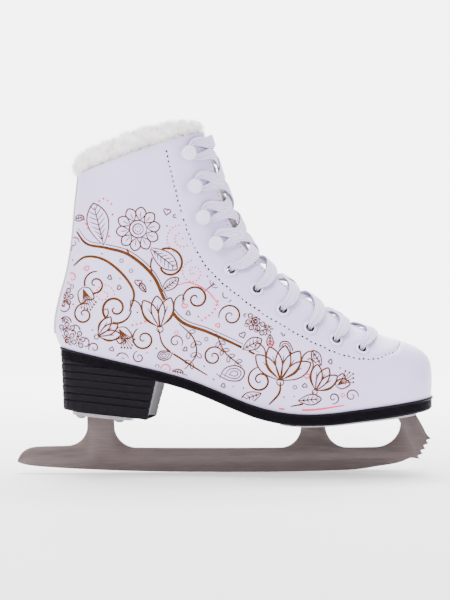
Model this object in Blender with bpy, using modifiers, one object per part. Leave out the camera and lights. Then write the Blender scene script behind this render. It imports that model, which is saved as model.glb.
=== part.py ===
"""A right-foot figure skate: a white lace-up boot with a moulded heel on a steel toe-pick blade.

The toe points along +X, +Y is the inner (medial) side and +Z is up. The origin is under the middle
of the skate, at the lowest point of the blade's edge. Tables below are in millimetres, and every
mesh is made in metres. Run it with: blender --background --python part.py
"""

import math

import bmesh
import bpy
import numpy as np
from mathutils import Matrix, Vector

MM = 0.001
GAP = 0.3  # clearance between two pieces that touch

# Wall layers of the boot, as depths under its outer surface.
LEATHER = (0.0, 1.5)
STIFFENER = (1.8, 2.6)
LINING = (2.9, 4.9)
BACKSTAY = (-1.1, -0.3)
BACKSTAY_HALF_WIDTH = 7.5

# Layers of the bottom, as heights over the top of the outsole.
BOARD = (0.3, 3.5)
FOOTBED = (3.8, 8.3)
SHANK_THICKNESS = 1.2
BOARD_INSET = 5.9
FOOTBED_INSET = 9.2
SLAB_UNDERCUT = 6.0
OUTSOLE_GROWTH = (0.5, 1.3, 0.6, -1.2)  # past the boot: top edge, lip, wall and bottom edge

BLADE_THICKNESS = 4.0
PLATE_THICKNESS = 2.2
EYELET_HOLE = 3.0
HOOK_CAP = 5.3
HOOK_NECK = 1.7
HOOK_NECK_HEIGHT = 2.95  # of the middle of the neck, over the leather

LACE_WIDTH = 9.0
LACE_THICKNESS = 1.3
LACE_BUNCHED = (4.0, 2.2)  # width and thickness inside an eyelet
LEAN = 0.10  # how far towards the toe the lace leans over the facing, as a share of a row
LACE_DEPTH = 7.0  # how deep the lace runs under the facings
LACE_CROSSING = (1.4, -0.6)  # heights of its two layers where they cross over the tongue
AGLET = (0.95, 15.0)  # radius and length
AGLET_TOWARDS = 16.0  # the station it points to

FUR = (6.2, 7.2)  # half the fur roll's thickness and height
TONGUE_THICKNESS = 6.0
# How far the tongue lies under the boot's outer surface, by station: its middle, and its sides.
TONGUE_CROWN = ((5.4, 6.4), (6.0, 9.9), (7.0, 9.4), (8.4, 4.7), (12.0, 4.3), (14.0, 2.3), (20.0, 2.3))
TONGUE_DEPTH = ((5.4, 6.6), (6.0, 10.0), (7.0, 9.4), (20.0, 8.8))
TONGUE_FLANK = 5.0  # how far inside the opening's edge its middle part ends
TONGUE_REACH = ((5.4, 16.0), (7.0, 22.0), (12.0, 27.0), (19.0, 33.0), (19.7, 26.0))

# The boot is a tube bent at the ankle. Each station is a flat section of it, from the toe (first)
# to the collar (last): the x and z of its sole or heel end, the x and z of its instep or shin end,
# the half width, the middle's y, the height of the widest point as a share of the section, and
# how square the section is below and above that point (2 is round).
STATIONS = (
    (146.7, 60.0, 147.2, 71.0, 0.0, 5.0, 0.45, 2.6, 2.3),
    (145.4, 51.5, 145.9, 77.5, 12.5, 5.0, 0.42, 3.2, 2.3),
    (141.0, 47.5, 142.6, 83.5, 23.0, 4.8, 0.40, 3.8, 2.3),
    (132.5, 45.8, 136.0, 88.6, 31.0, 4.4, 0.38, 4.2, 2.3),
    (120.0, 44.6, 126.0, 92.6, 36.6, 3.6, 0.36, 4.4, 2.3),
    (104.0, 42.8, 111.0, 97.0, 40.8, 2.2, 0.34, 4.5, 2.2),
    (85.0, 40.8, 96.0, 102.6, 43.0, 0.8, 0.32, 4.5, 2.1),
    (64.0, 38.4, 79.0, 111.6, 43.2, -0.8, 0.31, 4.5, 2.0),
    (42.0, 39.0, 62.5, 122.6, 41.2, -2.2, 0.32, 4.4, 2.0),
    (18.0, 45.0, 48.0, 133.2, 38.0, -3.0, 0.34, 4.3, 2.0),
    (-10.0, 56.0, 36.0, 142.6, 34.8, -2.8, 0.37, 4.2, 2.0),
    (-42.0, 66.5, 27.5, 151.2, 32.8, -2.0, 0.40, 4.0, 2.1),
    (-78.0, 75.0, 21.5, 159.0, 32.2, -1.0, 0.42, 3.6, 2.1),
    (-106.0, 82.0, 17.0, 166.5, 31.8, -0.3, 0.44, 3.0, 2.1),
    (-117.5, 91.0, 13.5, 173.5, 31.4, 0.0, 0.45, 2.6, 2.2),
    (-120.3, 104.0, 10.0, 180.5, 31.4, 0.0, 0.46, 2.4, 2.2),
    (-117.6, 121.0, 6.0, 189.0, 32.0, 0.0, 0.47, 2.3, 2.2),
    (-111.6, 143.0, 1.6, 200.0, 33.6, 0.0, 0.48, 2.3, 2.3),
    (-108.0, 166.0, -3.0, 213.0, 35.6, 0.0, 0.49, 2.3, 2.3),
    (-106.0, 189.0, -7.6, 226.5, 37.4, 0.0, 0.50, 2.3, 2.3),
    (-103.6, 209.5, -12.0, 241.0, 38.6, 0.0, 0.50, 2.3, 2.3),
)
TOP_STATION = len(STATIONS) - 1
THROAT = 5.75  # the station where the throat opening starts
HEEL_CORNER = 15.0  # past the station where the back leaves the sole

# Half width of the throat opening by station.
THROAT_HALF_GAP = ((THROAT, 0.0), (6.1, 7.0), (6.7, 9.8), (7.6, 11.2), (12.0, 13.4), (20.0, 17.5))

# The top of the outsole seen from the side. It is straight under the heel.
SOLE_TOP = (
    (-125.0, 90.9), (-95.0, 83.97), (-70.0, 78.2), (-45.0, 72.42), (-25.0, 66.8), (-8.0, 60.2),
    (8.0, 53.6), (24.0, 47.9), (40.0, 44.5), (56.0, 43.3), (72.0, 44.0), (95.0, 46.8),
    (120.0, 50.0), (150.0, 54.6),
)
HEEL_SEAT_END = -45.0
HEEL_SEAT_SLOPE = (SOLE_TOP[3][1] - SOLE_TOP[1][1]) / (SOLE_TOP[3][0] - SOLE_TOP[1][0])
SOLE_THICKNESS = ((-125.0, 7.6), (-45.0, 7.6), (20.0, 8.4), (60.0, 8.0), (120.0, 9.0), (150.0, 9.0))

# The heel: its flat bottom face, its front and how much it tapers.
HEEL_BOTTOM_AT = (-100.0, 43.3)
HEEL_BOTTOM_SLOPE = -0.105
HEEL_FRONT_TOP = (-47.5, -42.0)  # outer side, inner side
HEEL_FRONT_BOTTOM = (-54.0, -49.5)
HEEL_HOLLOW = 5.0  # how far the front face curves inwards
HEEL_TAPER = 1.0
HEEL_PLATE = (-108.0, -64.0, 19.0)  # rear end, front end, half width
SOLE_PLATE = (38.0, 136.0, 20.0)

# Where the lace holes and hooks sit on the outer side, seen from the side, toe end first.
EYELETS = ((94.7, 88.4), (76.7, 94.4), (58.6, 102.6), (40.0, 115.2), (21.9, 129.4), (4.0, 142.9))
HOOKS = ((-7.6, 160.5), (-17.0, 179.6), (-22.6, 200.6), (-26.8, 223.2))

# The blade in the side view: where its three stanchions meet the plates, and its edge and pick.
HEEL_STANCHION = (-97.8, -78.6)
MIDDLE_STANCHION = (53.9, 62.0, 71.0)
TOE_STANCHION = (122.5, 129.0, 135.6)
ROCKER = 1 / (2 * 1900.0)  # the edge's curve: its radius is about 1.9 m
PICK_FIRST, PICK_LAST, PICK_TEETH = (146.2, 23.9), (138.0, 9.3), 5

SCREWS_FRONT = ((49.0, 13.0), (84.0, 13.5), (121.0, 9.0))
SCREWS_HEEL = ((-101.0, 11.0), (-74.0, 11.5))

# Rows and columns of the grid that all of the boot's layers share.
_toe_rows = np.linspace(1.8, THROAT, 6)
_throat_rows = [THROAT + 0.35, THROAT + 0.9]
ROWS = np.concatenate(
    [[0.0, 0.3, 0.7, 1.2], _toe_rows, _throat_rows, np.linspace(7.5, TOP_STATION, 15)]
)
COLUMNS = 8  # on each side of the boot

MATERIALS = {  # colour, roughness, metallic
    "white_leather": ((0.86, 0.85, 0.90), 0.42, 0.0),
    "white_fleece": ((0.90, 0.89, 0.88), 0.95, 0.0),
    "white_lace": ((0.88, 0.87, 0.91), 0.85, 0.0),
    "white_enamel": ((0.90, 0.90, 0.91), 0.35, 0.0),
    "beige_trim": ((0.58, 0.54, 0.51), 0.55, 0.0),
    "black_rubber": ((0.020, 0.018, 0.024), 0.45, 0.0),
    "fibre_board": ((0.45, 0.36, 0.26), 0.80, 0.0),
    "blade_steel": ((0.50, 0.47, 0.46), 0.38, 1.0),
    "plated_steel": ((0.78, 0.78, 0.80), 0.22, 1.0),
    "clear_tip": ((0.85, 0.86, 0.88), 0.25, 0.0),
}


# ---------------------------------------------------------------- curves and tables


def through(keys, t):
    """The value at t of a smooth curve through keys, whose rows are a position and its values."""
    keys = np.array(keys, float)
    at, value = keys[:, 0], keys[:, 1:]
    step = np.diff(at)
    rate = np.diff(value, axis=0) / step[:, None]
    slope = np.empty_like(value)
    slope[0], slope[-1] = rate[0], rate[-1]
    before, after = step[:-1, None], step[1:, None]
    slope[1:-1] = (rate[:-1] * after + rate[1:] * before) / (before + after)
    t = np.clip(np.atleast_1d(np.asarray(t, float)), at[0], at[-1])
    i = np.clip(np.searchsorted(at, t, side="right") - 1, 0, len(step) - 1)
    h = step[i][:, None]
    f = ((t - at[i]) / step[i])[:, None]
    found = (
        value[i] * (1 + 2 * f) * (1 - f) ** 2
        + value[i + 1] * f**2 * (3 - 2 * f)
        + h * slope[i] * f * (1 - f) ** 2
        - h * slope[i + 1] * f**2 * (1 - f)
    )
    return found[:, 0] if found.shape[1] == 1 else found


def sole_top(x):
    """Height of the outsole's top. Its straight part under the heel is exactly straight."""
    x = np.asarray(x, float)
    seat = SOLE_TOP[1][1] + HEEL_SEAT_SLOPE * (x - SOLE_TOP[1][0])
    curved = through(SOLE_TOP, x.ravel()).reshape(x.shape)
    return np.where(x < HEEL_SEAT_END, seat, curved)


def sole_bottom(x):
    x = np.asarray(x, float)
    return sole_top(x) - np.interp(x, *zip(*SOLE_THICKNESS))


def heel_bottom(x):
    return HEEL_BOTTOM_AT[1] + HEEL_BOTTOM_SLOPE * (np.asarray(x, float) - HEEL_BOTTOM_AT[0])


# ---------------------------------------------------------------- the boot's surface

# The first station is the middle of a curve that comes back the other way, so that the toe is round.
_mirrored = [-1.0, *STATIONS[1]]
_mirrored[5] *= -1
STATION_KEYS = [_mirrored] + [[float(i), *row] for i, row in enumerate(STATIONS)]
ANGLES = np.linspace(0.0, math.pi, 121)


def half_section(s):
    """One half of the section at station s, from its shin end to its sole end: x, z, how far each
    point is from the middle, how far along the half it is from 0 to 1, and its length."""
    bx, bz, tx, tz, wide, _, level, below, above = through(STATION_KEYS, s)[0]
    wide = max(wide, 0.0)
    cos, sin = np.abs(np.cos(ANGLES)), np.sin(ANGLES).clip(0.0)
    power = 2 / np.where(ANGLES < math.pi / 2, above, below)
    share = np.where(
        ANGLES < math.pi / 2, level + (1 - level) * cos**power, level - level * cos**power
    )
    out = wide * sin**power
    x, z = bx + (tx - bx) * share, bz + (tz - bz) * share
    steps = np.sqrt(np.diff(x) ** 2 + np.diff(z) ** 2 + np.diff(out) ** 2)
    along = np.concatenate([[0.0], np.cumsum(steps)])
    return x, z, out, along / along[-1], along[-1]


def middle_y(s):
    return through(STATION_KEYS, s)[0][5]


def surface_point(s, v):
    """The point of the outer surface at station s. v runs from 0 on the shin to 1 at the back on
    the inner side, and to -1 on the outer side."""
    x, z, out, along, _ = half_section(s)
    share = abs(v)
    side = math.copysign(1.0, v)
    point = [np.interp(share, along, line) for line in (x, out, z)]
    point[1] = middle_y(s) + side * point[1]
    return np.array(point)


def surface_frame(s, v):
    """A point of the outer surface with its outward normal, its direction towards the throat and
    its direction up the boot, as unit vectors."""
    small_s, small_v = 0.03, 0.004 * math.copysign(1.0, v)
    point = surface_point(s, v)
    up = surface_point(min(s + small_s, TOP_STATION), v) - surface_point(s - small_s, v)
    throat = surface_point(s, v - small_v) - surface_point(s, v + small_v)
    normal = np.cross(throat, up) * -math.copysign(1.0, v)
    normal /= np.linalg.norm(normal)
    throat /= np.linalg.norm(throat)
    return point, normal, throat, np.cross(normal, throat) * -math.copysign(1.0, v)


def throat_edge(s):
    """How far along a half section the edge of the throat opening lies."""
    if s <= THROAT:
        return 0.0
    _, _, out, along, _ = half_section(s)
    gap = through(THROAT_HALF_GAP, s)[0]
    rising = slice(0, len(out) // 2)
    return float(np.interp(gap, out[rising], along[rising]))


def locate(x, z):
    """The station s and the v of the outer side's point that is seen at x, z from the side."""
    best = None
    step_s, step_v, centre = 0.5, 0.02, (11.0, 0.25)
    for _ in range(4):
        for s in centre[0] + step_s * np.arange(-18, 19):
            if not 1.0 <= s <= TOP_STATION:
                continue
            for v in centre[1] + step_v * np.arange(-12, 13):
                if not 0.01 <= v <= 0.6:
                    continue
                point = surface_point(s, -v)
                miss = math.hypot(point[0] - x, point[2] - z)
                if best is None or miss < best[0]:
                    best = (miss, s, v)
        centre = best[1:]
        step_s, step_v = step_s / 6, step_v / 6
    return centre


# ---------------------------------------------------------------- making objects


def clear_scene():
    for obj in list(bpy.data.objects):
        bpy.data.objects.remove(obj)


def make_materials():
    made = {}
    for name, (colour, roughness, metallic) in MATERIALS.items():
        material = bpy.data.materials.new(name)
        material.use_nodes = True
        shader = material.node_tree.nodes["Principled BSDF"]
        shader.inputs["Base Color"].default_value = (*colour, 1.0)
        shader.inputs["Roughness"].default_value = roughness
        shader.inputs["Metallic"].default_value = metallic
        material.diffuse_color = (*colour, 1.0)
        made[name] = material
    return made


def new_collection(name):
    collection = bpy.data.collections.new(name)
    bpy.context.scene.collection.children.link(collection)
    return collection


clear_scene()
MATERIAL = make_materials()
SKATE = new_collection("figure_skate")
HELPERS = new_collection("cutters")


def add_object(name, mesh, material, smooth=True):
    obj = bpy.data.objects.new(name, mesh)
    if material is None:  # a cutter
        HELPERS.objects.link(obj)
        obj.hide_render = True
        obj.display_type = "WIRE"
        return obj
    SKATE.objects.link(obj)
    mesh.materials.append(MATERIAL[material])
    if smooth:
        mesh.shade_smooth()
        mesh.set_sharp_from_angle(angle=math.radians(35))
    return obj


def mesh_from(name, points, faces, weld=0.0):
    """A mesh from points in millimetres. Points closer than weld millimetres become one."""
    mesh = bpy.data.meshes.new(name)
    mesh.from_pydata([tuple(p) for p in np.asarray(points, float) * MM], [], faces)
    work = bmesh.new()
    work.from_mesh(mesh)
    if weld:
        bmesh.ops.remove_doubles(work, verts=work.verts, dist=weld * MM)
        bmesh.ops.dissolve_degenerate(work, edges=work.edges, dist=1e-7)
    bmesh.ops.recalc_face_normals(work, faces=work.faces)
    work.to_mesh(mesh)
    work.free()
    return mesh


def cut(obj, *cutters):
    for cutter in cutters:
        boolean = obj.modifiers.new("cut_" + cutter.name, "BOOLEAN")
        boolean.operation = "DIFFERENCE"
        boolean.solver = "EXACT"
        boolean.object = cutter


def lathe(name, profile, place, axis, material, sides=16):
    """A turned piece. profile runs down its outer side as (radius, height), in millimetres."""
    mesh = bpy.data.meshes.new(name)
    points = [(radius * MM, 0.0, height * MM) for radius, height in profile]
    mesh.from_pydata(points, [(i, i + 1) for i in range(len(points) - 1)], [])
    obj = add_object(name, mesh, material, smooth=False)
    screw = obj.modifiers.new("turn", "SCREW")
    screw.steps = screw.render_steps = sides
    screw.use_merge_vertices = True
    screw.merge_threshold = 0.00002
    screw.use_smooth_shade = False
    obj.location = Vector(place) * MM
    obj.rotation_euler = Vector(axis).to_track_quat("Z", "Y").to_euler()
    return obj


def cylinder_cutter(name, place, axis, radius, below, above, sides=16):
    """A cutter along axis, from below to above its place."""
    profile = ((0.0, above), (radius, above), (radius, -below), (0.0, -below))
    return lathe(name, profile, place, axis, None, sides)


# ---------------------------------------------------------------- layers of the boot


def base_grid():
    """Vertex normals and points of the boot's outer surface: for each side, rows by columns."""
    sides = {}
    for side in (-1.0, 1.0):
        rows = []
        for s in ROWS:
            first = throat_edge(s)
            last = max(1 - BACKSTAY_HALF_WIDTH / half_section(s)[4], 1 - (1 - first) / COLUMNS)
            across = [*np.linspace(first, last, COLUMNS), 1.0]
            rows.append([surface_point(s, side * max(v, 1e-6)) for v in across])
        sides[side] = np.array(rows)
    return sides


GRID = base_grid()


def patch(rows, columns, depth):
    """An open surface under the boot's outer surface: some rows and columns of the shared grid."""
    points, faces = [], []
    wide = COLUMNS + 1
    for side in (-1.0, 1.0):
        base = len(points)
        points += list(GRID[side].reshape(-1, 3))
        for i in range(len(ROWS) - 1):
            for j in range(COLUMNS):
                a = base + i * wide + j
                b, c, d = a + 1, a + wide + 1, a + wide
                halves = ((a, b, c), (a, c, d)) if j < COLUMNS // 2 else ((a, b, d), (b, c, d))
                faces += [face if side > 0 else face[::-1] for face in halves]
    work = bmesh.new()
    unwanted = work.faces.layers.int.new("unwanted")
    verts = [work.verts.new(Vector(p)) for p in points]
    for index, face in enumerate(faces):
        made = work.faces.new([verts[i] for i in face])
        i, j = divmod(index // 2 % ((len(ROWS) - 1) * COLUMNS), COLUMNS)
        made[unwanted] = not (rows[0] <= i < rows[1] and columns[0] <= j < columns[1])
    bmesh.ops.remove_doubles(work, verts=work.verts, dist=0.02)
    work.normal_update()
    moved = {v: v.co - v.normal * depth for v in work.verts}
    for v, place in moved.items():
        v.co = place * MM
    bmesh.ops.delete(work, geom=[f for f in work.faces if f[unwanted]], context="FACES")
    return work


def layer(name, span, material, rows=(0, 99), columns=(0, COLUMNS)):
    """A shell of the boot's wall between two depths, as an open surface with Solidify."""
    work = patch(rows, columns, span[0])
    mesh = bpy.data.meshes.new(name)
    work.to_mesh(mesh)
    work.free()
    obj = add_object(name, mesh, material)
    solidify = obj.modifiers.new("thickness", "SOLIDIFY")
    solidify.thickness = (span[1] - span[0]) * MM
    solidify.offset = -1.0
    return obj


def below_sole(name, level):
    """A cutter that holds everything lower than level over the outsole's top."""
    xs = np.linspace(-150.0, 170.0, 65)
    top = sole_top(np.clip(xs, -125.0, 150.0)) + level
    low = top - 45.0
    points, faces = [], []
    for y in (-70.0, 70.0):
        points += [(x, y, z) for x, z in zip(xs, top)] + [(x, y, z) for x, z in zip(xs, low)]
    n = len(xs)
    for i in range(n - 1):
        a, b, c, d = i, i + n, i + 2 * n, i + 3 * n
        faces += [(a, a + 1, c + 1, c), (b, d, d + 1, b + 1), (a, b, b + 1, a + 1)]
        faces.append((c, c + 1, d + 1, d))
    faces += [(0, 2 * n, 3 * n, n), (n - 1, 2 * n - 1, 4 * n - 1, 3 * n - 1)]
    return add_object(name, mesh_from(name, points, faces), None)


# ---------------------------------------------------------------- flat shapes of the bottom


def lower_wall():
    """Points and outward normals of the lower half of the boot's side, as offsets from its middle,
    with the middle's y at each row."""
    stations = np.concatenate([np.linspace(0.0, 1.0, 12), np.linspace(1.05, HEEL_CORNER, 260)])
    low = ANGLES >= math.pi / 2
    rows = []
    for s in stations:
        x, z, out, _, _ = half_section(s)
        rows.append(np.stack([x[low], out[low], z[low]], axis=1))
    points = np.array(rows)
    normals = np.cross(np.gradient(points, axis=1), np.gradient(points, axis=0))
    normals /= np.linalg.norm(normals, axis=2)[:, :, None]
    return points, normals, np.array([middle_y(s) for s in stations])


LOWER_WALL = lower_wall()


def ring(level, depth, count=26):
    """A closed outline of the boot at a height over the outsole's top and a depth under the outer
    surface, as (x, y) from the heel along the outer side to the toe and back."""
    points, normals, middles = LOWER_WALL
    x, out, z = np.moveaxis(points - normals * depth, 2, 0)
    over = z - sole_top(x) - level
    rows = []
    for i in range(len(over)):
        below = np.flatnonzero((over[i, :-1] > 0) & (over[i, 1:] <= 0))
        if len(below):
            j = below[-1]
            f = over[i, j] / (over[i, j] - over[i, j + 1])
            half = out[i, j] + f * (out[i, j + 1] - out[i, j])
            if half > 0:
                rows.append((x[i, j] + f * (x[i, j + 1] - x[i, j]), half, middles[i]))
    x, half, middle = np.array(sorted(rows)).T
    angle = np.linspace(0.0, math.pi, count + 1)
    at = (x[0] + x[-1]) / 2 - (x[-1] - x[0]) / 2 * np.cos(angle)
    half = np.interp(at, x, half) * (np.sin(angle) > 1e-6)
    middle = np.interp(at, x, middle)
    there = np.stack([at, middle - half], axis=1)
    back = np.stack([at, middle + half], axis=1)[-2:0:-1]
    return np.concatenate([there, back])


def stacked(name, levels, material):
    """A closed solid from outlines laid over each other. levels lists, from the top down, the
    outline and the height of each of its points. Its ends are strips across the skate."""
    count = len(levels[0][0])
    points = [(x, y, z) for outline, heights in levels for (x, y), z in zip(outline, heights)]
    faces = []
    for k in range(len(levels) - 1):
        for i in range(count):
            j = (i + 1) % count
            faces.append((k * count + i, k * count + j, (k + 1) * count + j, (k + 1) * count + i))
    half = count // 2
    for base in (0, (len(levels) - 1) * count):
        for i in range(half):
            left, right = (i, i + 1), ((count - i) % count, count - i - 1)
            face = [base + left[0], base + left[1], base + right[1], base + right[0]]
            faces.append(list(dict.fromkeys(face)))
    return add_object(name, mesh_from(name, points, faces), material)


def slab(name, span, inset, material):
    """A flat layer inside the boot, between two heights over the outsole's top. Its underside is
    narrower, as the boot is."""
    top = ring(span[1], inset)
    direction = np.roll(top, -1, axis=0) - np.roll(top, 1, axis=0)
    inwards = np.stack([-direction[:, 1], direction[:, 0]], axis=1)
    inwards /= np.linalg.norm(inwards, axis=1)[:, None]
    low = top + inwards * SLAB_UNDERCUT
    levels = [(top, sole_top(top[:, 0]) + span[1]), (low, sole_top(low[:, 0]) + span[0])]
    return stacked(name, levels, material)


def make_bottom():
    """Outsole, lasting board with its shank, and footbed."""
    rim, lip, low, lowest = (ring(0.0, -grow) for grow in OUTSOLE_GROWTH)
    outsole = stacked(
        "outsole",
        [
            (rim, sole_top(rim[:, 0])),
            (lip, sole_top(lip[:, 0]) - 0.8),
            (low, sole_bottom(low[:, 0]) + 1.6),
            (lowest, sole_bottom(lowest[:, 0])),
        ],
        "black_rubber",
    )
    board = slab("lasting_board", BOARD, BOARD_INSET, "fibre_board")
    slab("footbed", FOOTBED, FOOTBED_INSET, "white_fleece")
    shank_span = (BOARD[0] + GAP, BOARD[0] + GAP + SHANK_THICKNESS)
    strip("shank", (-72.0, 22.0, 7.0), shank_span, "plated_steel")
    slot = (shank_span[0] - 2.0, shank_span[1] + GAP)
    cut(board, strip("shank_slot", (-72.4, 22.4, 7.4), slot, None))
    return outsole


def strip(name, extent, span, material):
    """A flat strip that follows the outsole's top, between two heights over it."""
    first, last, half = extent
    xs = np.linspace(first, last, 17)
    points = [(x, y, sole_top(x) + h) for h in span for y in (-half, half) for x in xs]
    n = len(xs)
    faces = [(0, n, 3 * n, 2 * n), (n - 1, 3 * n - 1, 4 * n - 1, 2 * n - 1)]
    for i in range(n - 1):
        for a, b in ((0, 1), (1, 3), (3, 2), (2, 0)):
            faces.append((a * n + i, a * n + i + 1, b * n + i + 1, b * n + i))
    return add_object(name, mesh_from(name, points, faces), material)


def heel_ring(share):
    """The heel's outline at a share of its height from the top: 0 to 1."""
    outline = ring(0.0, HEEL_TAPER * share - OUTSOLE_GROWTH[2])
    front = [a + (b - a) * share for a, b in zip(HEEL_FRONT_TOP, HEEL_FRONT_BOTTOM)]
    half = len(outline) // 2
    outer = [tuple(p) for p in outline[: half + 1] if p[0] < front[0] - 3.0]
    inner = [tuple(p) for p in outline[half + 1 :] if p[0] < front[1] - 3.0]
    outer_y = float(np.interp(front[0], outline[: half + 1, 0], outline[: half + 1, 1]))
    inner_part = outline[half + 1 :][::-1]
    inner_y = float(np.interp(front[1], inner_part[:, 0], inner_part[:, 1]))
    breast = []
    for f in np.linspace(0.0, 1.0, 9):
        x = front[0] + (front[1] - front[0]) * f - HEEL_HOLLOW * math.sin(math.pi * f)
        breast.append((x, outer_y + (inner_y - outer_y) * f))
    return np.array(outer + breast + inner)


def make_heel():
    """The heel block: flat under the outsole and flat on the blade's rear plate."""
    shares = (0.0, 0.5, 0.97, 1.0)
    shrink = (1.0, 1.0, 1.0, 0.965)
    rings = [heel_ring(share) for share in shares]
    count = min(len(r) for r in rings)
    rings = [resampled(r, count) for r in rings]
    points, faces = [], []
    for share, scale, outline in zip(shares, shrink, rings):
        middle = outline.mean(axis=0)
        outline = middle + (outline - middle) * scale
        low = heel_bottom(outline[:, 0])
        top = sole_bottom(HEEL_SEAT_END) + HEEL_SEAT_SLOPE * (outline[:, 0] - HEEL_SEAT_END) - GAP
        points += [(x, y, t + (b - t) * share) for (x, y), t, b in zip(outline, top, low)]
    for k in range(len(shares) - 1):
        for i in range(count):
            j = (i + 1) % count
            faces.append((k * count + i, k * count + j, (k + 1) * count + j, (k + 1) * count + i))
    last = (len(shares) - 1) * count
    faces += [tuple(range(count)), tuple(range(last, last + count))]
    return add_object("heel_block", mesh_from("heel_block", points, faces), "black_rubber")


def resampled(outline, count):
    """A closed outline with count points, evenly spaced from its first."""
    closed = np.vstack([outline, outline[:1]])
    along = np.concatenate([[0.0], np.cumsum(np.linalg.norm(np.diff(closed, axis=0), axis=1))])
    at = np.linspace(0.0, along[-1], count + 1)[:-1]
    return np.stack([np.interp(at, along, closed[:, k]) for k in (0, 1)], axis=1)


# ---------------------------------------------------------------- the blade


def arc(centre, radii, first, last, count=7):
    """Points of an ellipse's arc in the side view, between two angles in degrees."""
    angles = np.radians(np.linspace(first, last, count))
    return [(centre[0] + radii[0] * math.cos(a), centre[1] + radii[1] * math.sin(a)) for a in angles]


def blade_outline():
    """The blade from the side: tail, two stanchions, toe stanchion, pick teeth and rocker."""
    below_plate = PLATE_THICKNESS + 2 * GAP
    heel_top = heel_bottom(HEEL_STANCHION) - below_plate
    middle_top = sole_bottom(MIDDLE_STANCHION) - below_plate
    toe_top = sole_bottom(TOE_STANCHION) - below_plate
    points = [(-147.3, 7.4), (-146.3, 10.8), (-143.4, 14.6), (-139.0, 17.2), (-133.0, 18.2)]
    points += arc((-112.0, 33.2), (14.6, 14.6), 270, 350)
    points += list(zip(HEEL_STANCHION, heel_top))
    points += arc((-62.5, 33.0), (16.2, 15.8), 190, 270)
    points += arc((39.0, 32.2), (15.0, 15.0), 270, 350)
    points += list(zip(MIDDLE_STANCHION, middle_top))
    points += arc((86.8, 33.0), (15.6, 15.6), 190, 270)
    points += arc((106.0, 34.6), (18.6, 17.0), 275, 360, 9)
    points += list(zip(TOE_STANCHION, toe_top))
    points += [(138.0, 36.6), (140.9, 31.4), (143.0, 26.6)]
    points += toe_pick()
    points += [(132.6, 10.2), (130.4, 9.8), (125.6, 7.4), (117.4, 5.4), (108.0, 4.2)]
    xs = np.array([95.0, 80.0, 62.0, 44.0, 28.0, 12.0, -12.0, -30.0, -50.0, -72.0, -95.0, -118.0])
    points += [(x, ROCKER * max(abs(x) - 12.0, 0.0) ** 2) for x in xs]
    points += [(-135.0, 4.2), (-143.6, 5.6)]
    return points


def toe_pick():
    """The pick: teeth on a line, each with a notch behind its tip."""
    points = []
    first, last = np.array(PICK_FIRST), np.array(PICK_LAST)
    pitch = (last - first) / (PICK_TEETH - 1)
    for k in range(PICK_TEETH):
        tip = first + pitch * k
        points.append(tuple(tip))
        if k < PICK_TEETH - 1:
            points.append(tuple(tip + np.array((-3.4, -1.3))))
    return points


def flat_solid(name, outline, thickness, material):
    """A plate that stands on edge: an outline in the side view, thickened both ways along Y."""
    curve = bpy.data.curves.new(name, "CURVE")
    curve.dimensions = "2D"
    curve.fill_mode = "BOTH"
    curve.extrude = thickness / 2 * MM
    spline = curve.splines.new("POLY")
    spline.points.add(len(outline) - 1)
    for point, (x, z) in zip(spline.points, outline):
        point.co = (x * MM, z * MM, 0.0, 1.0)
    spline.use_cyclic_u = True
    drawn = bpy.data.objects.new(name + "_outline", curve)
    HELPERS.objects.link(drawn)
    bpy.context.view_layer.update()
    graph = bpy.context.evaluated_depsgraph_get()
    mesh = bpy.data.meshes.new_from_object(drawn.evaluated_get(graph))
    bpy.data.objects.remove(drawn)
    mesh.transform(Matrix.Rotation(math.radians(90), 4, "X"))
    work = bmesh.new()
    work.from_mesh(mesh)
    bmesh.ops.remove_doubles(work, verts=work.verts, dist=0.00001)
    bmesh.ops.recalc_face_normals(work, faces=work.faces)
    work.to_mesh(mesh)
    work.free()
    mesh.materials.clear()
    mesh.name = name
    return add_object(name, mesh, material, smooth=False)


def plate(name, extent, under, pinch, material):
    """A mounting plate with round ends that follows what it is under. pinch narrows its front."""
    first, last, half = extent
    middle, reach = (first + last) / 2, (last - first) / 2
    angle = np.linspace(0.0, math.pi, 15)
    at = middle - reach * np.cos(angle)
    wide = half * np.sin(angle) ** 0.45 * (1 - pinch * (at - first) / (last - first))
    outline = np.concatenate(
        [np.stack([at, -wide], axis=1), np.stack([at, wide], axis=1)[-2:0:-1]]
    )
    top = under(outline[:, 0]) - GAP
    return stacked(name, [(outline, top), (outline, top - PLATE_THICKNESS)], material)


def down_normal(height, x):
    """The direction straight out of the underside of height at x."""
    slope = float(height(x + 0.5) - height(x - 0.5))
    return np.array((slope, 0.0, -1.0)) / math.hypot(slope, 1.0)


def make_blade(outsole, heel):
    """The runner, its two mounting plates and their screws."""
    flat_solid("blade_runner", blade_outline(), BLADE_THICKNESS, "blade_steel")
    front = plate("sole_plate", SOLE_PLATE, sole_bottom, 0.25, "plated_steel")
    rear = plate("heel_plate", HEEL_PLATE, heel_bottom, 0.0, "plated_steel")
    jobs = [("sole_screw", SCREWS_FRONT, sole_bottom, front, outsole, 5.6, True)]
    jobs.append(("heel_screw", SCREWS_HEEL, heel_bottom, rear, heel, 14.0, False))
    for name, places, height, plate_obj, held_in, length, sunk in jobs:
        for k, (x, y) in enumerate(places):
            for side, word in ((-1, "outer"), (1, "inner")):
                axis = down_normal(height, x)
                face = np.array((x, side * y, float(height(x)))) + axis * (GAP + PLATE_THICKNESS)
                label = f"{name}_{word}_{k + 1}"
                make_screw(label, face, axis, length, sunk, plate_obj, held_in)


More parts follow.
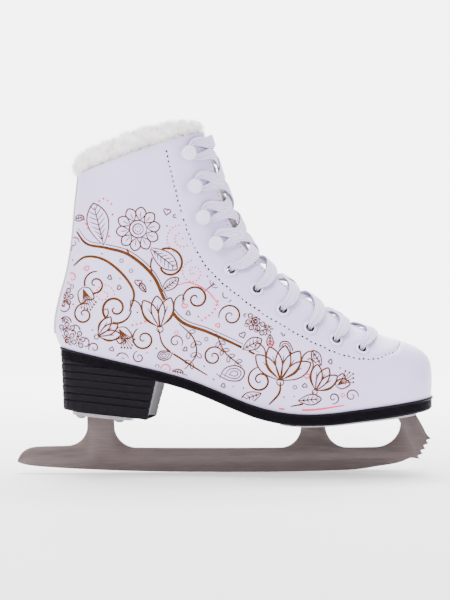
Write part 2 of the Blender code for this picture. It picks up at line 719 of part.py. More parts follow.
def make_screw(name, face, axis, length, sunk, plate_obj, held_in):
    """A wood screw through a plate. face is where its axis leaves the plate."""
    shank = 1.9
    deep = -(PLATE_THICKNESS + GAP + length)
    if sunk:
        head = [(0.0, -0.15), (3.7, -0.15), (3.7, -0.35), (shank, -1.9)]
        hole = [(0.0, 2.0), (4.4, 2.0), (4.4, -0.45), (shank + GAP, -2.0), (shank + GAP, -4.0)]
    else:
        head = [(0.0, 2.1), (1.7, 1.95), (3.1, 1.35), (3.8, GAP), (shank, GAP)]
        hole = [(0.0, 2.0), (shank + GAP, 2.0), (shank + GAP, -4.0)]
    profile = head + [(shank, deep + 1.6), (0.6, deep), (0.0, deep)]
    lathe(name, profile, face, axis, "plated_steel", sides=8)
    hole += [(0.0, hole[-1][1])]
    through_plate = lathe(name + "_plate_hole", hole, face, axis, None, sides=8)
    cut(plate_obj, through_plate)
    pilot = cylinder_cutter(name + "_pilot", face, axis, shank + GAP, -deep + GAP, 0.0, sides=8)
    cut(held_in, pilot)


# ---------------------------------------------------------------- eyelets, hooks and lace


def make_lacing_hardware(walls):
    """Twelve eyelets and eight hooks, with their holes through the walls of the boot."""
    rows = []
    for k, (x, z) in enumerate(EYELETS + HOOKS):
        s, v = locate(x, z)
        rows.append((s, v, k < len(EYELETS)))
        for side, word in ((-1, "outer"), (1, "inner")):
            point, normal, _, _ = surface_frame(s, side * v)
            if k < len(EYELETS):
                make_eyelet(f"eyelet_{word}_{k + 1}", point, normal, walls)
            else:
                make_hook(f"hook_{word}_{k + 1 - len(EYELETS)}", point, normal, walls)
    return rows


def make_eyelet(name, point, normal, walls):
    """A flanged tube, open in the middle, set in the leather and its lining."""
    hole, outside = EYELET_HOLE, EYELET_HOLE + 0.5
    flange, inner_end = 4.75, -4.6
    profile = [(hole + 0.6, 1.25), (flange, 0.9), (flange, GAP), (outside, GAP)]
    profile += [(outside, inner_end), (hole, inner_end), (hole, 0.8), (hole + 0.6, 1.25)]
    lathe(name, profile, point, normal, "white_enamel", sides=10)
    cutter = cylinder_cutter(name + "_hole", point, normal, outside + 2 * GAP, 9.0, 4.0, sides=8)
    for wall in walls:
        cut(wall, cutter)


def make_hook(name, point, normal, walls):
    """A lace hook: rivet, base, neck and round cap."""
    profile = [(0.0, 6.8), (3.2, 6.5), (HOOK_CAP, 5.5), (HOOK_CAP, 4.8), (HOOK_NECK, 4.7)]
    profile += [(HOOK_NECK, 1.2), (4.2, 1.1), (4.2, 0.4), (1.5, 0.4), (1.5, -4.4), (0.0, -4.4)]
    lathe(name, profile, point, normal, "white_enamel", sides=10)
    cutter = cylinder_cutter(name + "_hole", point, normal, 1.5 + GAP, 9.0, 4.0, sides=8)
    for wall in walls:
        cut(wall, cutter)


def crossing(s, side, height):
    """A point on the front of the boot over the tongue, a little to one side of its middle."""
    point, normal, _, _ = surface_frame(s, side * 0.004)
    return point + normal * height, normal


def under_facing(s, side, shift=0.0):
    """A point just inside the throat opening's edge, under the facing."""
    edge = throat_edge(s)
    _, _, _, _, length = half_section(s)
    point, normal, _, _ = surface_frame(s, side * (edge + shift / length))
    return point - normal * LACE_DEPTH, normal


def over_edge(s, side, height):
    """A point over the edge of the throat opening."""
    point, normal, _, _ = surface_frame(s, side * throat_edge(s))
    return point + normal * height, normal


def lace_half(rows, start_side):
    """The lace's route from the first eyelet on one side up to the last hook, as rows of point,
    the way its flat side faces, width and thickness."""
    route = []
    wide, thick = LACE_WIDTH, LACE_THICKNESS
    lift = LACE_CROSSING[0 if start_side < 0 else 1]
    side = start_side
    for k, (s, v, is_eyelet) in enumerate(rows):
        point, normal, throat, up = surface_frame(s, side * v)
        if k > 0:  # over the tongue from the other side
            last_s = rows[k - 1][0]
            route.append((*over_edge(last_s - (s - last_s) * LEAN, -side, 2.4), wide, thick))
            route.append((*crossing(last_s + (s - last_s) * 0.3, side, lift), wide, thick))
        if is_eyelet:
            inside = point - normal * LACE_DEPTH
            tight = [(point + normal * h, throat, *LACE_BUNCHED) for h in (-4.6, -1.8, 0.9)]
            under = (inside + throat * 1.8, normal + throat, 4.6, thick)
            if k > 0:  # down into the boot at the opening's edge
                for share, shift, wide_here in ((0.80, -4.2, 6.6), (0.88, -1.0, 6.6), (0.97, 3.5, 6.2)):
                    edge_s = last_s + (s - last_s) * share
                    route.append((*under_facing(edge_s, side, shift), wide_here, thick))
            route += [under] + tight
            route.append((point + normal * 2.9 + throat * 2.0, normal - throat * 0.4, 5.6, thick))
            route.append((point + normal * 2.7 + throat * 6.5 - up * 2.2, normal, 7.4, thick))
        else:
            neck = point + normal * HOOK_NECK_HEIGHT
            away = neck - normal * 0.3
            route.append((*over_edge(last_s + (s - last_s) * 0.76, side, 2.3), 8.0, thick))
            route.append((away + throat * 5.6 - up * 4.2, normal, 5.0, thick))
            for degrees in (-60, -105, -150, 180, 150, 105, 60):
                a = math.radians(degrees)
                out = throat * math.cos(a) + up * math.sin(a)
                route.append((neck + out * (HOOK_NECK + GAP + 0.95), out, 2.7, 1.6))
            route.append((away + throat * 5.0 + up * 5.0, normal, 5.0, thick))
        side = -side
    return route, side


def lace_tail(side):
    """Where the lace ends: across the tongue's top and down inside the boot on the far side."""
    cross, cross_normal = crossing(19.55, side, LACE_CROSSING[0 if side > 0 else 1])
    route = [(*over_edge(19.45, -side, 1.9), LACE_WIDTH, LACE_THICKNESS)]
    route.append((cross, cross_normal, LACE_WIDTH, LACE_THICKNESS))
    for s, shift in ((19.2, -3.2), (18.5, 5.0), (17.7, 8.0), (17.0, 8.5)):
        place, normal = under_facing(s, side, shift)
        route.append((place, normal, 7.0, LACE_THICKNESS))
    return route


def sweep(name, route, material, spacing=7.0):
    """A flat band on a smooth curve through the route's points, with square ends."""
    place = np.array([row[0] for row in route])
    shape = np.array([row[2:] for row in route])
    facing = np.array([row[1] for row in route])
    facing /= np.linalg.norm(facing, axis=1)[:, None]
    for i in range(1, len(facing)):
        if facing[i] @ facing[i - 1] < 0:
            facing[i] *= -1
    reach = np.linalg.norm(np.diff(place, axis=0), axis=1)
    along = np.concatenate([[0.0], np.cumsum(reach)])
    at = [0.0]
    for start, length in zip(along[:-1], reach):
        parts = max(1, round(length / spacing))
        at += [start + length * (k + 1) / parts for k in range(parts)]
    curve = through(np.column_stack([along, place]), at)
    turn = np.array([[np.interp(t, along, column) for column in facing.T] for t in at])
    size = np.array([[np.interp(t, along, column) for column in shape.T] for t in at])
    tangent = np.gradient(curve, axis=0)
    tangent /= np.linalg.norm(tangent, axis=1)[:, None]
    turn -= tangent * (turn * tangent).sum(axis=1)[:, None]
    turn /= np.linalg.norm(turn, axis=1)[:, None]
    across = np.cross(tangent, turn)
    points, faces = [], []
    for p, n, b, (wide, thick) in zip(curve, turn, across, size):
        for i, j in ((1, 1), (-1, 1), (-1, -1), (1, -1)):
            points.append(p + b * i * wide / 2 + n * j * thick / 2)
    for k in range(len(curve) - 1):
        for i in range(4):
            j = (i + 1) % 4
            faces.append((4 * k + i, 4 * k + j, 4 * k + 4 + j, 4 * k + 4 + i))
    last = 4 * len(curve) - 4
    faces += [(0, 1, 2, 3), (last, last + 1, last + 2, last + 3)]
    add_object(name, mesh_from(name, points, faces), material, smooth=False)
    return curve


def make_lace(rows):
    """One lace through every eyelet and round every hook, and the tip on each of its ends."""
    one, side_one = lace_half(rows, -1)
    other, side_other = lace_half(rows, 1)
    first = rows[0][0]
    bar = [under_facing(first, -1, shift) for shift in (9.0, 1.0)]
    bar.append(crossing(first, 1, -LACE_DEPTH))
    bar += [under_facing(first, 1, shift) for shift in (1.0, 9.0)]
    route = (one + lace_tail(side_one))[::-1]
    route += [(*place, 6.2, LACE_THICKNESS) for place in bar]
    route += other + lace_tail(side_other)
    curve = sweep("lace", route, "white_lace")
    for word, end, side in (("a", curve[0], side_one), ("b", curve[-1], side_other)):
        away = under_facing(AGLET_TOWARDS, side, 9.5)[0] - end
        away /= np.linalg.norm(away)
        profile = [(0.0, AGLET[1]), (AGLET[0], AGLET[1]), (AGLET[0], 0.0), (0.0, 0.0)]
        lathe("aglet_" + word, profile, end + away * GAP, away, "clear_tip", sides=8)


# ---------------------------------------------------------------- soft parts


def make_tongue():
    """A padded tongue under the facings, crowned between them and open above."""
    stations = np.concatenate([[5.4, 5.9], np.linspace(6.5, 19.7, 15)])
    spread = np.array([-1.0, -0.72, -0.46, -0.22, 0.0, 0.22, 0.46, 0.72, 1.0])
    outer, inner = [], []
    for s in stations:
        edge = throat_edge(s)
        _, _, _, _, length = half_section(s)
        reach = np.interp(s, *zip(*TONGUE_REACH)) / length
        open_part = max(edge - TONGUE_FLANK / length, 0.01)
        under = np.interp(s, *zip(*TONGUE_DEPTH))
        middle = np.interp(s, *zip(*TONGUE_CROWN))
        for t in spread:
            v = math.copysign(max(abs(t) * reach, 0.004), t if t else 1.0)
            crown = 1.0 - min(abs(v) / open_part, 1.0)
            depth = under + (middle - under) * crown
            point, normal, _, _ = surface_frame(s, v)
            thick = TONGUE_THICKNESS * (1 - 0.55 * abs(t) ** 3)
            outer.append(point - normal * depth)
            inner.append(point - normal * (depth + thick))
    count, wide = len(stations), len(spread)
    points = outer + inner
    faces = []
    shift = count * wide
    for i in range(count - 1):
        for j in range(wide - 1):
            a = i * wide + j
            faces.append((a, a + 1, a + wide + 1, a + wide))
            faces.append((shift + a, shift + a + wide, shift + a + wide + 1, shift + a + 1))
    rim = list(range(wide))
    rim += [i * wide + wide - 1 for i in range(1, count)]
    rim += [(count - 1) * wide + j for j in range(wide - 2, -1, -1)]
    rim += [i * wide for i in range(count - 2, 0, -1)]
    for a, b in zip(rim, rim[1:] + rim[:1]):
        faces.append((a, b, shift + b, shift + a))
    add_object("tongue", mesh_from("tongue", points, faces), "white_fleece")


def make_fur_collar():
    """The fur roll that sits on the boot's top edge, from one facing round to the other."""
    first = throat_edge(TOP_STATION)
    path = np.linspace(first, 1.0, 13)
    stops = [(-1, v) for v in path] + [(1, v) for v in path[-2::-1]]
    sides = 10
    points, faces = [], []
    for k, (side, v) in enumerate(stops):
        point, normal, _, up = surface_frame(TOP_STATION, side * min(v, 0.995))
        near_end = min(k, len(stops) - 1 - k)
        size = (0.42, 0.62, 0.76, 0.88, 0.96, 1.0)[min(near_end, 5)]
        centre = point + up * (FUR[1] * size + GAP) - normal * (LINING[1] / 2)
        for i in range(sides):
            a = 2 * math.pi * i / sides
            reach = normal * FUR[0] * math.cos(a) + up * FUR[1] * math.sin(a)
            points.append(centre + reach * size)
    for k in range(len(stops) - 1):
        for i in range(sides):
            j = (i + 1) % sides
            faces.append((k * sides + i, k * sides + j, (k + 1) * sides + j, (k + 1) * sides + i))
    last = (len(stops) - 1) * sides
    faces += [tuple(range(sides)), tuple(range(last, last + sides))]
    add_object("fur_collar", mesh_from("fur_collar", points, faces), "white_fleece")


# ---------------------------------------------------------------- the whole skate


def row_of(s):
    return int(np.argmin(np.abs(ROWS - s)))


def make_walls():
    """The layers of the boot's wall, each cut off where the bottom starts."""
    top = len(ROWS) - 1
    leather = layer("upper_shell", LEATHER, "white_leather")
    lining = layer("lining", LINING, "white_fleece")
    puff = layer("toe_puff", STIFFENER, "fibre_board", rows=(0, row_of(4.4)))
    counter_rows = (row_of(11.5), row_of(16.6))
    counter = layer("heel_counter", STIFFENER, "fibre_board", counter_rows, (4, COLUMNS))
    facing_rows = (row_of(THROAT) - 1, top)
    facing = layer("facing_backing", STIFFENER, "fibre_board", facing_rows, (0, 3))
    layer("backstay", BACKSTAY, "beige_trim", (row_of(14.6), top), (COLUMNS - 1, COLUMNS))
    base = below_sole("sole_line", GAP + 0.1)
    for wall in (leather, puff):
        cut(wall, base)
    inner_base = below_sole("board_line", BOARD[1] + GAP)
    for wall in (lining, counter):
        cut(wall, inner_base)
    return leather, facing, lining


def build():
    walls = make_walls()
    outsole = make_bottom()
    heel = make_heel()
    make_blade(outsole, heel)
    make_lace(make_lacing_hardware(walls))
    make_tongue()
    make_fur_collar()


build()
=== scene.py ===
"""Looks of the figure skate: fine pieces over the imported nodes, soft studio light and the camera.

The skate stands on its blade with the toe along +X. Lengths below are in millimetres.
"""

import math

import bmesh
import bpy
import numpy as np
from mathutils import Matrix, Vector, noise
from mathutils.bvhtree import BVHTree


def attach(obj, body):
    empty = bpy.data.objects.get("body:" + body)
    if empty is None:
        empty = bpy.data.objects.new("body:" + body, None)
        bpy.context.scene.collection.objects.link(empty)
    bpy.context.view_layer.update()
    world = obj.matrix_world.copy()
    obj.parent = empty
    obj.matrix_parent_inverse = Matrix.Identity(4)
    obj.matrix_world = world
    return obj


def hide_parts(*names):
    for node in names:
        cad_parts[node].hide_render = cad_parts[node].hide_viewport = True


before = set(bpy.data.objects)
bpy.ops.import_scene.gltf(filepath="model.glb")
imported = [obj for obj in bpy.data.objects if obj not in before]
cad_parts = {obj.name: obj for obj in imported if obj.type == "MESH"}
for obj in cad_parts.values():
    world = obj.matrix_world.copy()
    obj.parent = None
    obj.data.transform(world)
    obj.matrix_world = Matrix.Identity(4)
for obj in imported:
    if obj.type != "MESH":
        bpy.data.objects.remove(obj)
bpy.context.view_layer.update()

MM = 0.001
GAP = 0.3  # clearance between two pieces that touch

# Wall layers of the boot, as depths under its outer surface.
LEATHER = (0.0, 1.5)
LINING = (2.9, 4.9)
BACKSTAY = (-1.1, -0.3)
BACKSTAY_HALF_WIDTH = 7.5

# Layers of the bottom, as heights over the top of the outsole.
FOOTBED = (3.8, 8.3)
FOOTBED_INSET = 9.2
SLAB_UNDERCUT = 6.0
OUTSOLE_GROWTH = (0.5, 1.3, 0.6, -1.2)  # past the boot: top edge, lip, wall and bottom edge

BLADE_THICKNESS = 4.0
PLATE_THICKNESS = 2.2
EYELET_HOLE = 3.0
HOOK_CAP = 5.3
HOOK_NECK = 1.7
HOOK_NECK_HEIGHT = 2.95  # of the middle of the neck, over the leather

LACE_WIDTH = 9.0
LACE_THICKNESS = 1.3
LACE_BUNCHED = (4.0, 2.2)  # width and thickness inside an eyelet
LACE_BY_EYELET = 5.6  # width where it comes out of one
LEAN = 0.10  # how far towards the toe the lace leans over the facing, as a share of a row
LACE_DEPTH = 7.0  # how deep the lace runs under the facings
LACE_CROSSING = (1.4, -0.6)  # heights of its two layers where they cross over the tongue
AGLET = (0.95, 15.0)  # radius and length
AGLET_TOWARDS = 16.0  # the station it points to

FUR = (6.2, 7.2)  # half the fur roll's thickness and height
TONGUE_THICKNESS = 6.0
# How far the tongue lies under the boot's outer surface, by station: its middle, and its sides.
TONGUE_CROWN = ((5.4, 6.4), (6.0, 9.9), (7.0, 9.4), (8.4, 4.7), (12.0, 4.3), (14.0, 2.3), (20.0, 2.3))
TONGUE_DEPTH = ((5.4, 6.6), (6.0, 10.0), (7.0, 9.4), (20.0, 8.8))
TONGUE_FLANK = 5.0  # how far inside the opening's edge its middle part ends
TONGUE_REACH = ((5.4, 16.0), (7.0, 22.0), (12.0, 27.0), (19.0, 33.0), (19.7, 26.0))

# The boot is a tube bent at the ankle. Each station is a flat section of it, from the toe (first)
# to the collar (last): the x and z of its sole or heel end, the x and z of its instep or shin end,
# the half width, the middle's y, the height of the widest point as a share of the section, and
# how square the section is below and above that point (2 is round).
STATIONS = (
    (146.7, 60.0, 147.2, 71.0, 0.0, 5.0, 0.45, 2.6, 2.3),
    (145.4, 51.5, 145.9, 77.5, 12.5, 5.0, 0.42, 3.2, 2.3),
    (141.0, 47.5, 142.6, 83.5, 23.0, 4.8, 0.40, 3.8, 2.3),
    (132.5, 45.8, 136.0, 88.6, 31.0, 4.4, 0.38, 4.2, 2.3),
    (120.0, 44.6, 126.0, 92.6, 36.6, 3.6, 0.36, 4.4, 2.3),
    (104.0, 42.8, 111.0, 97.0, 40.8, 2.2, 0.34, 4.5, 2.2),
    (85.0, 40.8, 96.0, 102.6, 43.0, 0.8, 0.32, 4.5, 2.1),
    (64.0, 38.4, 79.0, 111.6, 43.2, -0.8, 0.31, 4.5, 2.0),
    (42.0, 39.0, 62.5, 122.6, 41.2, -2.2, 0.32, 4.4, 2.0),
    (18.0, 45.0, 48.0, 133.2, 38.0, -3.0, 0.34, 4.3, 2.0),
    (-10.0, 56.0, 36.0, 142.6, 34.8, -2.8, 0.37, 4.2, 2.0),
    (-42.0, 66.5, 27.5, 151.2, 32.8, -2.0, 0.40, 4.0, 2.1),
    (-78.0, 75.0, 21.5, 159.0, 32.2, -1.0, 0.42, 3.6, 2.1),
    (-106.0, 82.0, 17.0, 166.5, 31.8, -0.3, 0.44, 3.0, 2.1),
    (-117.5, 91.0, 13.5, 173.5, 31.4, 0.0, 0.45, 2.6, 2.2),
    (-120.3, 104.0, 10.0, 180.5, 31.4, 0.0, 0.46, 2.4, 2.2),
    (-117.6, 121.0, 6.0, 189.0, 32.0, 0.0, 0.47, 2.3, 2.2),
    (-111.6, 143.0, 1.6, 200.0, 33.6, 0.0, 0.48, 2.3, 2.3),
    (-108.0, 166.0, -3.0, 213.0, 35.6, 0.0, 0.49, 2.3, 2.3),
    (-106.0, 189.0, -7.6, 226.5, 37.4, 0.0, 0.50, 2.3, 2.3),
    (-103.6, 209.5, -12.0, 241.0, 38.6, 0.0, 0.50, 2.3, 2.3),
)
TOP_STATION = len(STATIONS) - 1
THROAT = 5.75  # the station where the throat opening starts
HEEL_CORNER = 15.0  # past the station where the back leaves the sole

# Half width of the throat opening by station.
THROAT_HALF_GAP = ((THROAT, 0.0), (6.1, 7.0), (6.7, 9.8), (7.6, 11.2), (12.0, 13.4), (20.0, 17.5))

# The top of the outsole seen from the side. It is straight under the heel.
SOLE_TOP = (
    (-125.0, 90.9), (-95.0, 83.97), (-70.0, 78.2), (-45.0, 72.42), (-25.0, 66.8), (-8.0, 60.2),
    (8.0, 53.6), (24.0, 47.9), (40.0, 44.5), (56.0, 43.3), (72.0, 44.0), (95.0, 46.8),
    (120.0, 50.0), (150.0, 54.6),
)
HEEL_SEAT_END = -45.0
HEEL_SEAT_SLOPE = (SOLE_TOP[3][1] - SOLE_TOP[1][1]) / (SOLE_TOP[3][0] - SOLE_TOP[1][0])
SOLE_THICKNESS = ((-125.0, 7.6), (-45.0, 7.6), (20.0, 8.4), (60.0, 8.0), (120.0, 9.0), (150.0, 9.0))

# The heel: its flat bottom face, its front and how much it tapers.
HEEL_BOTTOM_AT = (-100.0, 43.3)
HEEL_BOTTOM_SLOPE = -0.105
HEEL_FRONT_TOP = (-47.5, -42.0)  # outer side, inner side
HEEL_FRONT_BOTTOM = (-54.0, -49.5)
HEEL_HOLLOW = 5.0  # how far the front face curves inwards
HEEL_TAPER = 1.0

# Where the lace holes and hooks sit on the outer side, seen from the side, toe end first.
EYELETS = ((94.7, 88.4), (76.7, 94.4), (58.6, 102.6), (40.0, 115.2), (21.9, 129.4), (4.0, 142.9))
HOOKS = ((-7.6, 160.5), (-17.0, 179.6), (-22.6, 200.6), (-26.8, 223.2))

# The blade in the side view: where its three stanchions meet the plates, and its edge and pick.
HEEL_STANCHION = (-97.8, -78.6)
MIDDLE_STANCHION = (53.9, 62.0, 71.0)
TOE_STANCHION = (122.5, 129.0, 135.6)
ROCKER = 1 / (2 * 1900.0)  # the edge's curve: its radius is about 1.9 m
ROCKER_FLAT = 12.0  # half the length of its straight middle
PICK_FIRST, PICK_LAST, PICK_TEETH = (146.2, 23.9), (138.0, 9.3), 5

SCREWS_FRONT = ((49.0, 13.0), (84.0, 13.5), (121.0, 9.0))
SCREWS_HEEL = ((-101.0, 11.0), (-74.0, 11.5))


# ---------------------------------------------------------------- curves and tables


def unit(rows, least=0.0):
    """Each row as a vector of length 1."""
    return rows / np.maximum(np.linalg.norm(rows, axis=1), least)[:, None]


def distances(path):
    """How far along a path each of its points lies."""
    return np.concatenate([[0.0], np.cumsum(np.linalg.norm(np.diff(path, axis=0), axis=1))])


def sampled(path, along, at):
    """A path's points at the distances given by at, straight between its own."""
    return np.stack([np.interp(at, along, column) for column in path.T], axis=1)


def through(keys, t):
    """The value at t of a smooth curve through keys, whose rows are a position and its values."""
    keys = np.array(keys, float)
    at, value = keys[:, 0], keys[:, 1:]
    step = np.diff(at)
    rate = np.diff(value, axis=0) / step[:, None]
    slope = np.empty_like(value)
    slope[0], slope[-1] = rate[0], rate[-1]
    before, after = step[:-1, None], step[1:, None]
    slope[1:-1] = (rate[:-1] * after + rate[1:] * before) / (before + after)
    t = np.clip(np.atleast_1d(np.asarray(t, float)), at[0], at[-1])
    i = np.clip(np.searchsorted(at, t, side="right") - 1, 0, len(step) - 1)
    h = step[i][:, None]
    f = ((t - at[i]) / step[i])[:, None]
    found = (
        value[i] * (1 + 2 * f) * (1 - f) ** 2
        + value[i + 1] * f**2 * (3 - 2 * f)
        + h * slope[i] * f * (1 - f) ** 2
        - h * slope[i + 1] * f**2 * (1 - f)
    )
    return found[:, 0] if found.shape[1] == 1 else found


def sole_top(x):
    """Height of the outsole's top. Its straight part under the heel is exactly straight."""
    x = np.asarray(x, float)
    seat = SOLE_TOP[1][1] + HEEL_SEAT_SLOPE * (x - SOLE_TOP[1][0])
    curved = through(SOLE_TOP, x.ravel()).reshape(x.shape)
    return np.where(x < HEEL_SEAT_END, seat, curved)


def sole_bottom(x):
    x = np.asarray(x, float)
    return sole_top(x) - np.interp(x, *zip(*SOLE_THICKNESS))


def heel_bottom(x):
    return HEEL_BOTTOM_AT[1] + HEEL_BOTTOM_SLOPE * (np.asarray(x, float) - HEEL_BOTTOM_AT[0])


# ---------------------------------------------------------------- the boot's surface

# The first station is the middle of a curve that comes back the other way, so that the toe is round.
_mirrored = [-1.0, *STATIONS[1]]
_mirrored[5] *= -1
STATION_KEYS = [_mirrored] + [[float(i), *row] for i, row in enumerate(STATIONS)]
ANGLES = np.linspace(0.0, math.pi, 121)


def half_section(s):
    """One half of the section at station s, from its shin end to its sole end: x, z, how far each
    point is from the middle, how far along the half it is from 0 to 1, and its length."""
    bx, bz, tx, tz, wide, _, level, below, above = through(STATION_KEYS, s)[0]
    wide = max(wide, 0.0)
    cos, sin = np.abs(np.cos(ANGLES)), np.sin(ANGLES).clip(0.0)
    power = 2 / np.where(ANGLES < math.pi / 2, above, below)
    share = np.where(
        ANGLES < math.pi / 2, level + (1 - level) * cos**power, level - level * cos**power
    )
    out = wide * sin**power
    x, z = bx + (tx - bx) * share, bz + (tz - bz) * share
    steps = np.sqrt(np.diff(x) ** 2 + np.diff(z) ** 2 + np.diff(out) ** 2)
    along = np.concatenate([[0.0], np.cumsum(steps)])
    return x, z, out, along / along[-1], along[-1]


def middle_y(s):
    return through(STATION_KEYS, s)[0][5]


def surface_point(s, v):
    """The point of the outer surface at station s. v runs from 0 on the shin to 1 at the back on
    the inner side, and to -1 on the outer side."""
    x, z, out, along, _ = half_section(s)
    share = abs(v)
    side = math.copysign(1.0, v)
    point = [np.interp(share, along, line) for line in (x, out, z)]
    point[1] = middle_y(s) + side * point[1]
    return np.array(point)


def surface_frame(s, v):
    """A point of the outer surface with its outward normal, its direction towards the throat and
    its direction up the boot, as unit vectors."""
    small_s, small_v = 0.03, 0.004 * math.copysign(1.0, v)
    point = surface_point(s, v)
    up = surface_point(min(s + small_s, TOP_STATION), v) - surface_point(s - small_s, v)
    throat = surface_point(s, v - small_v) - surface_point(s, v + small_v)
    normal = np.cross(throat, up) * -math.copysign(1.0, v)
    normal /= np.linalg.norm(normal)
    throat /= np.linalg.norm(throat)
    return point, normal, throat, np.cross(normal, throat) * -math.copysign(1.0, v)


def throat_edge(s):
    """How far along a half section the edge of the throat opening lies."""
    if s <= THROAT:
        return 0.0
    _, _, out, along, _ = half_section(s)
    gap = through(THROAT_HALF_GAP, s)[0]
    rising = slice(0, len(out) // 2)
    return float(np.interp(gap, out[rising], along[rising]))


def locate(x, z):
    """The station s and the v of the outer side's point that is seen at x, z from the side."""
    best = None
    step_s, step_v, centre = 0.5, 0.02, (11.0, 0.25)
    for _ in range(4):
        for s in centre[0] + step_s * np.arange(-18, 19):
            if not 1.0 <= s <= TOP_STATION:
                continue
            for v in centre[1] + step_v * np.arange(-12, 13):
                if not 0.01 <= v <= 0.6:
                    continue
                point = surface_point(s, -v)
                miss = math.hypot(point[0] - x, point[2] - z)
                if best is None or miss < best[0]:
                    best = (miss, s, v)
        centre = best[1:]
        step_s, step_v = step_s / 6, step_v / 6
    return centre


def lower_wall():
    """Points and outward normals of the lower half of the boot's side, as offsets from its middle,
    with the middle's y at each row."""
    stations = np.concatenate([np.linspace(0.0, 1.0, 12), np.linspace(1.05, HEEL_CORNER, 260)])
    low = ANGLES >= math.pi / 2
    rows = []
    for s in stations:
        x, z, out, _, _ = half_section(s)
        rows.append(np.stack([x[low], out[low], z[low]], axis=1))
    points = np.array(rows)
    normals = np.cross(np.gradient(points, axis=1), np.gradient(points, axis=0))
    normals /= np.linalg.norm(normals, axis=2)[:, :, None]
    return points, normals, np.array([middle_y(s) for s in stations])


LOWER_WALL = lower_wall()


def ring(level, depth, count=26):
    """A closed outline of the boot at a height over the outsole's top and a depth under the outer
    surface, as (x, y) from the heel along the outer side to the toe and back."""
    points, normals, middles = LOWER_WALL
    x, out, z = np.moveaxis(points - normals * depth, 2, 0)
    over = z - sole_top(x) - level
    rows = []
    for i in range(len(over)):
        below = np.flatnonzero((over[i, :-1] > 0) & (over[i, 1:] <= 0))
        if len(below):
            j = below[-1]
            f = over[i, j] / (over[i, j] - over[i, j + 1])
            half = out[i, j] + f * (out[i, j + 1] - out[i, j])
            if half > 0:
                rows.append((x[i, j] + f * (x[i, j + 1] - x[i, j]), half, middles[i]))
    x, half, middle = np.array(sorted(rows)).T
    angle = np.linspace(0.0, math.pi, count + 1)
    at = (x[0] + x[-1]) / 2 - (x[-1] - x[0]) / 2 * np.cos(angle)
    half = np.interp(at, x, half) * (np.sin(angle) > 1e-6)
    middle = np.interp(at, x, middle)
    there = np.stack([at, middle - half], axis=1)
    back = np.stack([at, middle + half], axis=1)[-2:0:-1]
    return np.concatenate([there, back])


def heel_ring(share):
    """The heel's outline at a share of its height from the top: 0 to 1."""
    outline = ring(0.0, HEEL_TAPER * share - OUTSOLE_GROWTH[2])
    front = [a + (b - a) * share for a, b in zip(HEEL_FRONT_TOP, HEEL_FRONT_BOTTOM)]
    half = len(outline) // 2
    outer = [tuple(p) for p in outline[: half + 1] if p[0] < front[0] - 3.0]
    inner = [tuple(p) for p in outline[half + 1 :] if p[0] < front[1] - 3.0]
    outer_y = float(np.interp(front[0], outline[: half + 1, 0], outline[: half + 1, 1]))
    inner_part = outline[half + 1 :][::-1]
    inner_y = float(np.interp(front[1], inner_part[:, 0], inner_part[:, 1]))
    breast = []
    for f in np.linspace(0.0, 1.0, 9):
        x = front[0] + (front[1] - front[0]) * f - HEEL_HOLLOW * math.sin(math.pi * f)
        breast.append((x, outer_y + (inner_y - outer_y) * f))
    return np.array(outer + breast + inner)


def resampled(outline, count):
    """A closed outline with count points, evenly spaced from its first."""
    closed = np.vstack([outline, outline[:1]])
    along = distances(closed)
    return sampled(closed, along, np.linspace(0.0, along[-1], count + 1)[:-1])


def arc(centre, radii, first, last, count=7):
    """Points of an ellipse's arc in the side view, between two angles in degrees."""
    angles = np.radians(np.linspace(first, last, count))
    return [(centre[0] + radii[0] * math.cos(a), centre[1] + radii[1] * math.sin(a)) for a in angles]


def blade_outline():
    """The blade from the side: tail, two stanchions, toe stanchion, pick teeth and rocker."""
    below_plate = PLATE_THICKNESS + 2 * GAP
    heel_top = heel_bottom(HEEL_STANCHION) - below_plate
    middle_top = sole_bottom(MIDDLE_STANCHION) - below_plate
    toe_top = sole_bottom(TOE_STANCHION) - below_plate
    points = [(-147.3, 7.4), (-146.3, 10.8), (-143.4, 14.6), (-139.0, 17.2), (-133.0, 18.2)]
    points += arc((-112.0, 33.2), (14.6, 14.6), 270, 350)
    points += list(zip(HEEL_STANCHION, heel_top))
    points += arc((-62.5, 33.0), (16.2, 15.8), 190, 270)
    points += arc((39.0, 32.2), (15.0, 15.0), 270, 350)
    points += list(zip(MIDDLE_STANCHION, middle_top))
    points += arc((86.8, 33.0), (15.6, 15.6), 190, 270)
    points += arc((106.0, 34.6), (18.6, 17.0), 275, 360, 9)
    points += list(zip(TOE_STANCHION, toe_top))
    points += [(138.0, 36.6), (140.9, 31.4), (143.0, 26.6)]
    points += toe_pick()
    points += [(132.6, 10.2), (130.4, 9.8), (125.6, 7.4), (117.4, 5.4), (108.0, 4.2)]
    xs = (95.0, 80.0, 62.0, 44.0, 28.0, 12.0, -12.0, -30.0, -50.0, -72.0, -95.0, -118.0)
    points += [(x, ROCKER * max(abs(x) - ROCKER_FLAT, 0.0) ** 2) for x in xs]
    points += [(-135.0, 4.2), (-143.6, 5.6)]
    return points


def toe_pick():
    """The pick: teeth on a line, each with a notch behind its tip."""
    points = []
    first, last = np.array(PICK_FIRST), np.array(PICK_LAST)
    pitch = (last - first) / (PICK_TEETH - 1)
    for k in range(PICK_TEETH):
        tip = first + pitch * k
        points.append(tuple(tip))
        if k < PICK_TEETH - 1:
            points.append(tuple(tip + np.array((-3.4, -1.3))))
    return points


def down_normal(height, x):
    """The direction straight out of the underside of height at x."""
    slope = float(height(x + 0.5) - height(x - 0.5))
    return np.array((slope, 0.0, -1.0)) / math.hypot(slope, 1.0)


def crossing(s, side, height):
    """A point on the front of the boot over the tongue, a little to one side of its middle."""
    point, normal, _, _ = surface_frame(s, side * 0.004)
    return point + normal * height, normal


